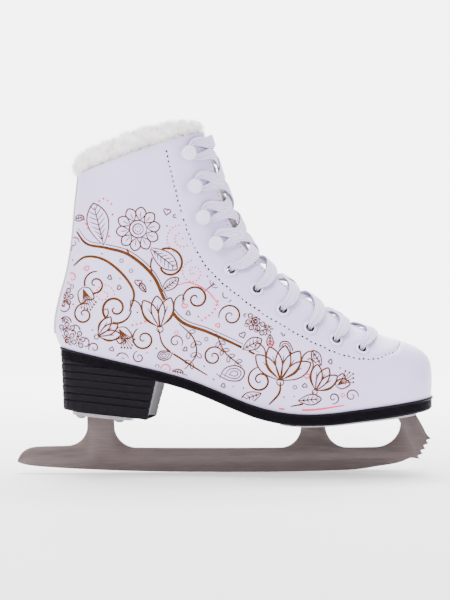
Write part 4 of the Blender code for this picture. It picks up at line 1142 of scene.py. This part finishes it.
def tassel(ink, at, degrees, size, hairs=7):
    """A hanging flower: a bell, with stamens that end in dots."""
    bell = [(0, 0), (size * 0.18, size * 0.3), (size * 0.62, size * 0.36), (size * 0.7, size * 0.2)]
    bell += [(size * 0.62, 0), (size * 0.7, -size * 0.2), (size * 0.62, -size * 0.36)]
    bell += [(size * 0.18, -size * 0.3), (0, 0)]
    ink.line(turn_path(smooth_path(*bell, count=60), at, degrees), 1.0)
    for k in range(hairs):
        t = (k - (hairs - 1) / 2) / (hairs - 1)
        tip = (size * (1.12 - 0.5 * abs(t)), size * 0.72 * t)
        hair = smooth_path((size * 0.08, 0), (size * 0.55, size * 0.34 * t), tip, count=14)
        ink.line(turn_path(hair, at, degrees), 0.6)
        ink.dot(*turn_path([tip], at, degrees)[0], 0.75)
    ink.reserve(turn_path(smooth_path(*bell, count=40), at, degrees))


def paisley(ink, at, degrees, size):
    """Three drops with curled tips, one inside another."""
    drop = [(0.0, 0.0), (0.34, 0.30), (0.78, 0.26), (1.0, -0.04), (0.76, -0.30), (0.40, -0.22)]
    drop += [(0.14, -0.02), (-0.06, 0.22)]
    for k in (1.0, 0.66, 0.34):
        path = smooth_path(*drop, count=46) * size * k + (size * (1 - k) * 0.62, 0)
        ink.line(turn_path(path, at, degrees), 0.9 if k == 1 else 0.7)
    ink.reserve(turn_path(smooth_path(*drop[:7], count=30) * size, at, degrees))


def heart(ink, at, degrees, size):
    a = np.linspace(0.0, 2 * math.pi, 32)
    x = 16 * np.sin(a) ** 3
    z = 13 * np.cos(a) - 5 * np.cos(2 * a) - 2 * np.cos(3 * a) - np.cos(4 * a)
    ink.line(turn_path(np.stack([x, z], axis=1) / 32, at, degrees, size), 0.8, taper=False)


def sprig(ink, path, leaves, size):
    """A stem with small leaves in pairs."""
    ink.line(path)
    path = np.array(path)
    for k in range(leaves):
        i = int((k + 1) * len(path) / (leaves + 1))
        d = path[min(i + 1, len(path) - 1)] - path[i - 1]
        heading = math.degrees(math.atan2(d[1], d[0]))
        for sign in (1, -1):
            ink.line(turn_path(petal_path(size, size * 0.5, 12), path[i], heading + sign * 48), 0.7)


def dotted(ink, path, pitch, radius):
    path = np.array(path)
    along = distances(path)
    for x, z in sampled(path, along, np.arange(0.0, along[-1], pitch)):
        ink.dot(x, z, radius)


def draw_gold(ink):
    """Vines that rise from the back seam, a large daisy with leaves, tulips and hanging flowers."""
    daisy(ink, (-60, 171), 15.0, 10, 8)
    leaf(ink, (-84, 160), 104, 30, 15, 7)
    leaf(ink, (-52, 158), -38, 24, 11, 6)
    leaf(ink, (-44, 128), 38, 15, 7)
    tulip(ink, (-45, 103), 96, 22)
    tulip(ink, (-88, 97), 30, 16)
    tassel(ink, (-99, 131), -70, 15)
    tassel(ink, (-74, 103), -58, 15, 7)
    tulip(ink, (38, 67), 82, 24, 5)
    tulip(ink, (62, 60), 60, 18, 3)
    leaf(ink, (12, 88), 28, 15, 8, 4)
    tassel(ink, (76, 63), 35, 13, 5)
    paisley(ink, (-4, 68), 18, 18)
    paisley(ink, (48, 84), 140, 13)
    paisley(ink, (-36, 86), 200, 11)
    leaf(ink, (25, 58), 200, 15, 7, 4)
    leaf(ink, (50, 53), 5, 16, 7, 4)
    leaf(ink, (66, 77), 120, 12, 6, 3)
    vine = smooth_path(
        (-104, 170), (-96, 161), (-82, 158), (-66, 153), (-50, 139), (-41, 121), (-30, 107),
        (-12, 100), (6, 92), (22, 84), count=120,
    )
    ink.line(vine, 2.2)
    ink.line(vine + (1.2, 2.2), 0.7)
    second = smooth_path((-106, 146), (-97, 152), (-84, 150), (-71, 140), (-63, 127), (-66, 114))
    ink.line(second, 1.8)
    for x, z, radius, turns, start, way, wide in (
        (-76, 116, 11.0, 1.6, -6, -1, 1.6), (-90, 133, 8.5, 1.5, 80, 1, 1.4),
        (-39, 147, 12.5, 1.7, 210, -1, 1.5), (-20, 123, 9.0, 1.5, 200, -1, 1.4),
        (4, 111, 8.0, 1.5, 190, -1, 1.2), (-98, 112, 7.5, 1.5, 60, 1, 1.3),
        (-56, 95, 8.0, 1.5, 120, 1, 1.3), (24, 67, 8.5, 1.6, 100, 1, 1.3),
        (-8, 83, 7.0, 1.5, 20, 1, 1.2),
    ):
        ink.line(spiral_path((x, z), radius, turns, start, way), wide)
    ink.line(smooth_path((-66, 153), (-72, 168), (-70, 180)), 1.4)
    ink.line(smooth_path((-46, 102), (-42, 90), (-28, 80), (-12, 70)), 1.3)
    sprig(ink, smooth_path((-32, 106), (-22, 96), (-20, 84), (-28, 74)), 4, 5)
    sprig(ink, smooth_path((-14, 128), (-6, 136), (-6, 147)), 3, 4.5)
    sprig(ink, smooth_path((-6, 99), (0, 86), (12, 76)), 4, 4.5)
    ink.line(smooth_path((38, 66), (37, 58), (30, 50)), 1.4)
    ink.line(smooth_path((61, 59), (56, 52), (45, 49)), 1.2)
    for x, z, a, size in ((-84, 176, 10, 5), (-40, 183, -12, 5), (12, 98, 20, 4.5), (-60, 134, 0, 5)):
        heart(ink, (x, z), a, size)


def draw_pink(ink):
    """Dotted sprays and small hearts between the vines."""
    dotted(ink, spiral_path((-30, 165), 10.5, 1.8, 240, -1), 2.4, 0.62)
    dotted(ink, spiral_path((-84, 126), 7.0, 1.4, 0, 1), 2.4, 0.6)
    dotted(ink, spiral_path((-22, 141), 8.0, 1.5, 100, 1), 2.4, 0.6)
    dotted(ink, smooth_path((-98, 178), (-92, 168), (-80, 166)), 3.4, 0.9)
    dotted(ink, smooth_path((-92, 186), (-84, 192), (-78, 188)), 3.4, 0.8)
    dotted(ink, smooth_path((-52, 118), (-54, 108), (-66, 104)), 3.0, 0.8)
    dotted(ink, smooth_path((-16, 108), (-8, 114), (-4, 124)), 3.0, 0.8)
    ink.line(smooth_path((26, 49), (44, 46.8), (62, 47), (82, 50)), 1.3)
    ink.line(smooth_path((-34, 132), (-24, 134), (-12, 128), (-4, 118)), 0.9)
    for x, z, a in ((-96, 144, 20), (-52, 160, 0), (-28, 118, -20), (32, 92, 10), (56, 70, 0)):
        heart(ink, (x, z), a, 4.0)


def fill_gaps(gold, pink):
    """Small dots, drops and hearts wherever the larger motifs leave room."""
    taken = np.array(gold.drawn + pink.drawn)
    for k, (x, z) in enumerate(
        (x + 1.6 * math.sin(3.1 * z + x), z + 1.6 * math.sin(2.3 * x))
        for z in np.arange(50.0, 186.0, 6.2)
        for x in np.arange(-112.0, 90.0, 6.6)
    ):
        free = float(np.min(np.hypot(taken[:, 0] - x, taken[:, 1] - z)))
        if free < 3.3 or z > 150 + 0.5 * abs(x + 60) + 30 or not within(PRINT_EDGE, x, z):
            continue
        ink = pink if k % 5 == 0 else gold
        if free > 6.0:
            size = min(free, 7.5)
            if free > 9.0:
                daisy(gold, (x, z), size * 0.9, 7, 13.0 * k)
            elif k % 2:
                ink.line(spiral_path((x, z), size * 0.62, 1.3, 47.0 * k, 1 if k % 3 else -1, 30), 0.9)
            else:
                leaf(gold, (x - size * 0.4, z - size * 0.3), 37.0 * k, size * 1.3, size * 0.6, 3)
        elif free > 4.2:
            if k % 2:
                heart(ink, (x, z), 31.0 * k, 3.4)
            else:
                ink.line(circle_path((x, z), 1.3, 14), 0.6, taper=False)
        else:
            ink.dot(x, z, 0.62)


for _side, _word in ((-1.0, "outer"), (1.0, "inner")):
    gold, pink = Print(_side), Print(_side)
    pink.reserved = gold.reserved
    draw_gold(gold)
    draw_pink(pink)
    fill_gaps(gold, pink)
    new_piece("gold_print_" + _word, gold.points, gold.faces, GOLD)
    new_piece("pink_print_" + _word, pink.points, pink.faces, PINK)

# ---------------------------------------------------------------- fur, fleece and tongue

FUR_HAIRS = 30000
FLEECE_HAIRS = 15000


def hairs(roots, headings, normals, lengths, widths, droop, curl):
    """Points and faces of many thin curved hairs, each a strip that ends in a point."""
    count = len(roots)
    side = unit(np.cross(headings, normals + RNG.normal(0, 0.5, normals.shape)), 1e-6)
    bend = RNG.normal(0, curl, roots.shape)
    points = []
    for f, wide in ((0.0, 1.0), (0.38, 0.9), (0.72, 0.6)):
        middle = roots + headings * (lengths * f)[:, None] + bend * f * f
        middle[:, 2] -= droop * lengths * f * f
        half = side * (widths * wide / 2)[:, None]
        points += [middle - half, middle + half]
    tip = roots + headings * lengths[:, None] + bend
    tip[:, 2] -= droop * lengths
    points.append(tip)
    stacked = np.stack(points, axis=1).reshape(-1, 3)
    base = (np.arange(count) * 7)[:, None]
    quads = [(base + np.array(q)).tolist() for q in ((0, 1, 3, 2), (2, 3, 5, 4))]
    return stacked, quads[0] + quads[1] + (base + np.array((4, 5, 6))).tolist()


def make_fur():
    """The fur roll: a soft uneven core under many short hairs that hang over the boot's edge."""
    first = throat_edge(TOP_STATION)
    path = np.linspace(first, 1.0, 70)
    stops = [(-1, v) for v in path] + [(1, v) for v in path[-2::-1]]
    sides = 26
    points, outwards, weight = [], [], []
    for k, (side, v) in enumerate(stops):
        point, normal, _, up = surface_frame(TOP_STATION, side * min(v, 0.995))
        near_end = min(k, len(stops) - 1 - k) / (len(stops) - 1) * 24
        size = float(np.interp(near_end, (0, 1, 2, 3, 4, 5), (0.42, 0.62, 0.76, 0.88, 0.96, 1.0)))
        centre = point + up * (FUR[1] * size + GAP) - normal * (LINING[1] / 2)
        for a in np.linspace(0.0, 2 * math.pi, sides, endpoint=False):
            reach = normal * (FUR[0] - 1.3) * math.cos(a) + up * (FUR[1] - 1.3) * math.sin(a)
            points.append(centre + reach * size)
            outwards.append(normal * math.cos(a) + up * math.sin(a))
            weight.append(size)
    points, outwards, weight = np.array(points), np.array(outwards), np.array(weight)
    lumps = 0.9 * wobble(points, 6.0) + 0.5 * wobble(points, 2.6, 3.0)
    core = points + outwards * lumps[:, None]
    faces = grid_faces(len(stops), sides, ring_closed=True)
    last = (len(stops) - 1) * sides
    faces += [list(range(sides))[::-1], list(range(last, last + sides))]
    count = FUR_HAIRS
    at = RNG.integers(0, len(points), count)
    tuft = np.stack([wobble(core[at], 3.4, k * 7.7) for k in range(3)], axis=1)
    jitter = RNG.normal(0, 0.55, (count, 3))
    roots = core[at] + RNG.normal(0, 0.5, (count, 3)) - outwards[at] * 0.4
    heading = unit(outwards[at] * 0.8 + tuft * 2.1 + jitter * 0.45)
    lengths = RNG.uniform(2.6, 5.6, count) * (0.55 + 0.45 * weight[at])
    widths = RNG.uniform(0.12, 0.26, count)
    hair_points, hair_faces = hairs(roots, heading, outwards[at], lengths, widths, 0.25, 0.6)
    hair_faces = [[i + len(core) for i in face] for face in hair_faces]
    roll = new_piece(
        "fur_roll", np.concatenate([core, hair_points]), faces + hair_faces, FUR_HAIR,
        stands_for=("fur_collar",),
    )


def make_fleece_tongue():
    """The padded tongue with a curly fleece face."""
    stations = np.linspace(5.42, 19.7, 190)
    spread = np.linspace(-1.0, 1.0, 61)
    outer, inner, normals = [], [], []
    for s in stations:
        edge = throat_edge(s)
        length = half_section(s)[4]
        reach = np.interp(s, *zip(*TONGUE_REACH)) / length
        open_part = max(edge - TONGUE_FLANK / length, 0.01)
        under = np.interp(s, *zip(*TONGUE_DEPTH))
        middle = np.interp(s, *zip(*TONGUE_CROWN))
        for t in spread:
            v = math.copysign(max(abs(t) * reach, 0.002), t if t else 1.0)
            crown = 1.0 - min(abs(v) / open_part, 1.0)
            depth = under + (middle - under) * crown ** 0.85
            point, normal, _, _ = surface_frame(s, v)
            thick = TONGUE_THICKNESS * (1 - 0.75 * abs(t) ** 3)
            outer.append(point - normal * (depth + 0.35))
            inner.append(point - normal * (depth + thick))
            normals.append(normal)
    outer, inner, normals = np.array(outer), np.array(inner), np.array(normals)
    curls = 0.45 * wobble(outer, 1.9, 5.0) + 0.30 * wobble(outer, 4.4, 8.0)
    outer = outer + normals * curls[:, None]
    faces = sheet_faces(len(stations), len(spread))
    hair_count = FLEECE_HAIRS
    at = RNG.integers(0, len(outer), hair_count)
    tuft = np.stack([wobble(outer[at], 2.2, k * 5.3) for k in range(3)], axis=1)
    heading = unit(normals[at] * 0.6 + tuft * 1.8 + RNG.normal(0, 0.35, (hair_count, 3)))
    wool, wool_faces = hairs(
        outer[at] + RNG.normal(0, 0.25, (hair_count, 3)), heading, normals[at],
        RNG.uniform(0.9, 1.7, hair_count), RNG.uniform(0.18, 0.32, hair_count), 0.0, 0.35,
    )
    wool_faces = [[i + 2 * len(outer) for i in face] for face in wool_faces]
    points = np.concatenate([outer, inner, wool])
    pad = new_piece(
        "fleece_tongue", points, faces + wool_faces, FLEECE, "tongue", ("tongue",)
    )


make_fur()
make_fleece_tongue()

# ---------------------------------------------------------------- eyelets, hooks and lace


def make_hardware():
    """Rolled ring eyelets and round-capped hooks."""
    for k, (s, v, is_eyelet) in enumerate(LACING):
        for side, word in ((-1, "outer"), (1, "inner")):
            point, normal, _, _ = surface_frame(s, side * v)
            if is_eyelet:
                node = f"eyelet_{word}_{k + 1}"
                rim = [(EYELET_HOLE, -4.6), (EYELET_HOLE, 0.45)]
                for a in np.linspace(math.pi, 0.0, 12):
                    rim.append((EYELET_HOLE + 0.9 + 0.9 * math.cos(a), 0.55 + 0.75 * math.sin(a)))
                rim += [(4.80, 0.18), (4.72, 0.02), (3.6, 0.0), (3.5, -4.6), (EYELET_HOLE, -4.6)]
                turned("ring_" + node, rim[::-1], point, normal, ENAMEL, (node,))
                # A thin dark tube inside the ring's hole: painted shade inside the eyelet.
                bore_shade = [(2.96, 0.35), (2.96, -4.6)]
                turned("bore_shade_" + node, bore_shade, point, normal, BORE_SHADE, sides=24)
            else:
                node = f"hook_{word}_{k + 1 - len(EYELETS)}"
                cap = [(0.0, 6.75)]
                for a in np.linspace(82, 0, 10):
                    r = math.radians(a)
                    cap.append((HOOK_CAP - 1.9 + 1.9 * math.cos(r), 5.15 + 1.45 * math.sin(r)))
                cap += [(HOOK_CAP - 0.1, 4.85), (HOOK_CAP - 0.5, 4.66), (2.2, 4.6), (HOOK_NECK, 4.3)]
                cap += [(HOOK_NECK, 1.6), (2.1, 1.2), (3.8, 1.05), (4.2, 0.8), (4.2, 0.05), (1.5, 0.0)]
                cap += [(1.5, -3.6), (2.6, -3.8), (2.4, -4.4), (0.0, -4.5)]
                turned("fine_" + node, cap, point, normal, ENAMEL, (node,))


LACE_SPACING = 1.2
LACE_SECTION = 29  # points across each of its faces
LACE_RIBS = 7


def relaxed(route, spacing):
    """The route sampled evenly: places, facings, widths and thicknesses, with soft turns."""
    place = np.array([row[0] for row in route])
    facing = unit(np.array([row[1] for row in route], float))
    shape = np.array([row[2:] for row in route], float)
    for i in range(1, len(facing)):
        if facing[i] @ facing[i - 1] < 0:
            facing[i] *= -1
    along = distances(place)
    at = np.arange(0.0, along[-1], spacing)
    curve = through(np.column_stack([along, place]), at)
    turn, size = sampled(facing, along, at), sampled(shape, along, at)
    kernel = np.hanning(9)[1:-1]
    kernel /= kernel.sum()
    for line in (turn, size):
        for k in range(line.shape[1]):
            line[:, k] = np.convolve(np.pad(line[:, k], 3, mode="edge"), kernel, "valid")
    return curve, turn, size


def eased(row):
    """The lace's row of the route, narrower where it is pulled through an eyelet and beside it."""
    place, facing, wide, thick = row
    if (wide, thick) == LACE_BUNCHED:
        return place + facing * 0.8, facing, 2.9, 2.0
    return place, facing, wide * (0.8 if wide == LACE_BY_EYELET else 1.0), thick


def make_laces():
    """One flat ribbed lace through the eyelets and round the hooks, with its two tips."""
    one, side_one = lace_half(LACING, -1)
    other, side_other = lace_half(LACING, 1)
    first = LACING[0][0]
    bar = [under_facing(first, -1, shift) for shift in (9.0, 1.0)]
    bar.append(crossing(first, 1, -LACE_DEPTH))
    bar += [under_facing(first, 1, shift) for shift in (1.0, 9.0)]
    route = (one + lace_tail(side_one))[::-1]
    route += [(*place, 6.2, LACE_THICKNESS) for place in bar]
    route += other + lace_tail(side_other)
    curve, turn, size = relaxed([eased(row) for row in route], LACE_SPACING)
    tangent = unit(np.gradient(curve, axis=0))
    turn = unit(turn - tangent * (turn * tangent).sum(axis=1)[:, None])
    across = np.cross(tangent, turn)
    along = distances(curve)
    section = []
    for k in range(LACE_SECTION):
        t = -1.0 + 2.0 * k / (LACE_SECTION - 1)
        rib = math.cos(t * math.pi * LACE_RIBS)
        section.append((t, 0.80 * (1 - abs(t) ** 6) ** 0.5 + 0.22 * rib, 1))
    section += [(-t, -h, -1) for t, h, _ in section]
    points = []
    for i, (p, n, b, (wide, thick)) in enumerate(zip(curve, turn, across, size)):
        squeeze = np.clip((LACE_WIDTH - wide) / 5.0, 0.0, 1.0)
        weave = 0.05 * math.sin(along[i] * 2 * math.pi / 1.8)
        for t, h, face in section:
            fold = squeeze * 0.55 * math.sin(t * 7.0)
            lift = h * thick * 0.5 + fold + face * weave * (1 if round(t * 3.5) % 2 else -1)
            points.append(p + b * (t * wide / 2) + n * lift)
    around = len(section)
    faces = grid_faces(len(curve), around, ring_closed=True)
    faces += [list(range(around)), list(range(len(points) - around, len(points)))[::-1]]
    lace = new_piece("ribbed_lace", points, faces, LACE_YARN, stands_for=("lace",))
    lace.data.materials.append(LACE_VALLEY_SHADE)
    between = [(section[k][0] + section[(k + 1) % around][0]) / 2 for k in range(around)]
    # Faces in the valleys between the ribs take the darker second colour, which is painted shade.
    shaded_valley = [math.cos(t * math.pi * LACE_RIBS) < -0.25 for t in between]
    for polygon in lace.data.polygons:
        if polygon.index < (len(curve) - 1) * around and shaded_valley[polygon.index % around]:
            polygon.material_index = 1
    for word, end, side in (("a", curve[0], side_one), ("b", curve[-1], side_other)):
        away = under_facing(AGLET_TOWARDS, side, 9.5)[0] - end
        away /= np.linalg.norm(away)
        tip = [(0.0, AGLET[1]), (0.6, AGLET[1] - 0.1), (AGLET[0], AGLET[1] - 0.7), (AGLET[0], 0.3)]
        tip += [(0.8, 0.0), (0.0, 0.0)]
        turned("tip_" + word, tip, end + away * GAP, away, TIP, ("aglet_" + word,), 20)


make_hardware()
make_laces()

# ---------------------------------------------------------------- outsole, heel and footbed


def grown(outline, by):
    """A closed outline moved outwards. It runs from the heel along the outer side to the toe."""
    direction = np.roll(outline, -1, axis=0) - np.roll(outline, 1, axis=0)
    return outline + unit(np.stack([direction[:, 1], -direction[:, 0]], axis=1), 1e-6) * by


def make_outsole():
    """The outsole with its lip, its fine ridges and its chamfered bottom edge, as levels of how
    far it stands out past the boot and how far it lies under its top."""
    base = ring(0.0, 0.0, 220)
    levels = [(-3.0, 0.0), (0.35, -0.05), (1.15, 0.05), (1.55, 0.35), (1.6, 0.9), (1.3, 1.35)]
    levels.append((0.55, 1.6))
    steps = np.linspace(1.8, 6.9, 52)
    levels += [(0.62 + 0.24 * math.cos((h - 1.8) * 2 * math.pi / 0.85), h) for h in steps]
    levels += [(0.4, 7.2), (0.1, 7.6), (-0.6, 8.0), (-1.4, 8.25), (-4.0, 8.3)]
    points = []
    for by, h in levels:
        outline = grown(base, by)
        top = sole_top(outline[:, 0])
        deep = (top - sole_bottom(outline[:, 0])) * (h / levels[-1][1])
        points += [(x, y, z) for (x, y), z in zip(outline, top - deep)]
    count = len(base)
    faces = grid_faces(len(levels), count, ring_closed=True)
    faces += cap_across(count, 0)
    faces += cap_across(count, (len(levels) - 1) * count, flip=True)
    new_piece("ridged_outsole", points, faces, RUBBER, stands_for=("outsole",))


HEEL_LIFT = 5.0  # the height of a layer between two grooves
HEEL_EDGE = 1.7  # the radius of its bottom edge


def make_fine_heel():
    """The heel with grooves that run level with its bottom, and a smooth hollow front."""
    count = 300
    top_ring, low_ring = resampled(heel_ring(0.0), count), resampled(heel_ring(1.0), count)
    low = heel_bottom(low_ring[:, 0])
    seat = sole_bottom(HEEL_SEAT_END) + HEEL_SEAT_SLOPE * (low_ring[:, 0] - HEEL_SEAT_END) + 0.4
    tangent = unit(np.roll(top_ring, -1, axis=0) - np.roll(top_ring, 1, axis=0))
    front = (np.abs(tangent[:, 1]) > 0.75) & (top_ring[:, 0] > -75.0)
    plain = np.convolve(np.pad(front.astype(float), 4, mode="wrap"), np.ones(9) / 9, "valid")
    points = []
    heights = np.concatenate([[0.0, 0.12, 0.35, 0.7, 1.1, 1.6], np.arange(2.0, 48.0, 0.35)])
    for h in heights:
        z = np.minimum(low + h, seat)
        share = np.clip((seat - z) / (seat - low), 0.0, 1.0)[:, None]
        outline = top_ring + (low_ring - top_ring) * share
        phase = ((h - 5.4) % HEEL_LIFT) / HEEL_LIFT
        groove = 0.75 * math.exp(-(((phase - 0.5) / 0.075) ** 2)) if h > 4.0 else 0.0
        corner = HEEL_EDGE - math.sqrt(max(HEEL_EDGE**2 - (HEEL_EDGE - min(h, HEEL_EDGE)) ** 2, 0.0))
        inwards = -(groove * (1 - plain) + corner)
        points.append(np.column_stack([outline, z]))
        points[-1][:, :2] += (grown(outline, 1.0) - outline) * inwards[:, None]
    rows = len(points)
    points = np.concatenate(points)
    faces = grid_faces(rows, count, ring_closed=True, flip=True)
    last = (rows - 1) * count
    faces += [list(range(count)), list(range(last, last + count))[::-1]]
    heel = new_piece("grooved_heel", points, faces, RUBBER, stands_for=("heel_block",))
    heel.data.materials.append(RUBBER_GLOSS)
    for polygon in heel.data.polygons:
        if polygon.index < last and plain[polygon.index % count] > 0.5:
            polygon.material_index = 1
    heel.data.set_sharp_from_angle(angle=math.radians(50))


def make_footbed():
    """The fleece insole."""
    top = ring(FOOTBED[1], FOOTBED_INSET, 120)
    count = len(top)
    points, rows = [], 0
    for by, h in ((-SLAB_UNDERCUT, FOOTBED[0]), (-1.0, FOOTBED[1] - 1.4), (0.0, FOOTBED[1] - 0.5)):
        outline = grown(top, by)
        points += [(x, y, z) for (x, y), z in zip(outline, sole_top(outline[:, 0]) + h)]
        rows += 1
    mirror = top[(count - np.arange(count)) % count]
    centre = (top + mirror) / 2
    for share in np.linspace(0.0, 0.92, 18):
        outline = top + (centre - top) * share
        fluff = 0.35 * wobble(np.column_stack([outline, np.zeros(count)]), 2.6)
        height = sole_top(outline[:, 0]) + FOOTBED[1] - 0.2 - 0.8 * math.sin(share * 1.5) + fluff
        points += [(x, y, z) for (x, y), z in zip(outline, height)]
        rows += 1
    faces = grid_faces(rows, count, ring_closed=True, flip=True)
    faces += cap_across(count, 0, flip=True)
    faces += cap_across(count, (rows - 1) * count)
    new_piece("fleece_footbed", points, faces, LINING_WOOL, stands_for=("footbed",))


make_outsole()
make_fine_heel()
make_footbed()

# ---------------------------------------------------------------- blade, plates and screws


def make_runner():
    """The blade: a bevelled flat runner with a smooth outline and sharp pick teeth."""
    outline = rounded(blade_outline(), 32.0, 3)
    after = np.roll(outline, -1, axis=0)
    edge = unit(after - outline, 1e-6)
    both = edge + np.roll(edge, 1, axis=0)
    area = np.sum(outline[:, 0] * after[:, 1] - after[:, 0] * outline[:, 1])
    lean = unit(np.stack([-both[:, 1], both[:, 0]], axis=1) * math.copysign(1.0, area), 1e-6)
    half = BLADE_THICKNESS / 2
    bevel = ((0.35, -half), (0.10, -half + 0.1), (0.0, -half + 0.35))
    points = []
    for inset, y in bevel + tuple((inset, -y) for inset, y in bevel[::-1]):
        points += [(x, y, z) for x, z in outline + lean * inset]
    count = len(outline)
    faces = grid_faces(6, count, ring_closed=True, flip=area < 0)
    first, last = list(range(count)), list(range(5 * count, 6 * count))
    faces += [first[::-1], last] if area > 0 else [first, last[::-1]]
    blade = new_piece("steel_runner", points, faces, STEEL, stands_for=("blade_runner",))
    blade.data.set_sharp_from_angle(angle=math.radians(25))


def make_screws():
    """Domed and countersunk screws with cross recesses, each recess a thin dark piece of painted shade.
    """
    for name, places, height, length, sunk in (
        ("sole_screw", SCREWS_FRONT, sole_bottom, 5.6, True),
        ("heel_screw", SCREWS_HEEL, heel_bottom, 14.0, False),
    ):
        for k, (x, y) in enumerate(places):
            for side, word in ((-1, "outer"), (1, "inner")):
                axis = down_normal(height, x)
                face = np.array((x, side * y, float(height(x)))) + axis * (GAP + PLATE_THICKNESS)
                deep = -(PLATE_THICKNESS + GAP + length)
                if sunk:
                    head = [(0.0, -0.10), (3.5, -0.12), (3.75, -0.28), (1.9, -1.9)]
                else:
                    head = [(0.0, 2.1), (1.0, 2.06), (2.0, 1.85), (2.9, 1.4), (3.5, 0.8), (3.75, 0.4)]
                    head += [(3.7, 0.2), (1.9, 0.2)]
                head += [(1.9, deep + 1.6), (0.6, deep), (0.0, deep)]
                node = f"{name}_{word}_{k + 1}"
                turned("fine_" + node, head, face, axis, PLATED, (node,), 32)
                top = head[0][1]
                # The cross recess: a thin dark piece of painted shade.
                cross, faces = [], []
                turn = np.array(Vector(axis).to_track_quat("Z", "Y").to_matrix())
                for spin in (0.0, math.pi / 2):
                    start = len(cross)
                    c, s = math.cos(spin), math.sin(spin)
                    for u, w in ((-2.1, -0.35), (2.1, -0.35), (2.1, 0.35), (-2.1, 0.35)):
                        drop = 0.03 if sunk else -0.22
                        cross.append((u * c - w * s, u * s + w * c, top + drop))
                    for u in (-1.0, 1.0):
                        cross.append((u * c, u * s, top + 0.05))
                    bar = ((0, 1, 2, 3), (0, 4, 3), (1, 2, 5), (0, 1, 5, 4), (4, 5, 2, 3))
                    faces += [tuple(start + i for i in face) for face in bar]
                place = np.array(cross) @ turn.T + face
                new_piece("recess_shade_" + node, place, faces, HOLE_SHADE, smooth=False)


make_runner()
make_screws()

for _node, _look in (
    ("sole_plate", PLATED), ("heel_plate", PLATED), ("shank", PLATED), ("heel_counter", STIFF),
    ("toe_puff", STIFF), ("facing_backing", STIFF), ("lasting_board", BOARD_FIBRE),
):
    _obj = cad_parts[_node]
    _obj.data.materials.clear()
    _obj.data.materials.append(_look)
    if _look is PLATED:
        _bevel = _obj.modifiers.new("edge", "BEVEL")
        _bevel.width = 0.35 * MM
        _bevel.segments = 2
        _bevel.limit_method = "ANGLE"
        _bevel.angle_limit = math.radians(50)

# A pale floor that curves up into a wall behind.
_profile = [(-6.0, -0.0006), (1.6, -0.0006)]
for _a in np.linspace(-90, 0, 24)[1:]:
    _r = math.radians(_a)
    _profile.append((1.6 + 1.4 * math.cos(_r), 1.3994 + 1.4 * math.sin(_r)))
_profile.append((3.0, 5.0))
_sweep = [(x, y, z) for y, z in _profile for x in (-6.0, 6.0)]
_strips = [(i, i + 1, i + 3, i + 2) for i in range(0, len(_sweep) - 2, 2)]
floor = bpy.data.meshes.new("floor")
floor.from_pydata(_sweep, [], _strips)
floor.materials.append(FLOOR)
floor.shade_smooth()
floor_object = bpy.data.objects.new("studio_floor", floor)
SCENE.collection.objects.link(floor_object)

bpy.context.view_layer.update()
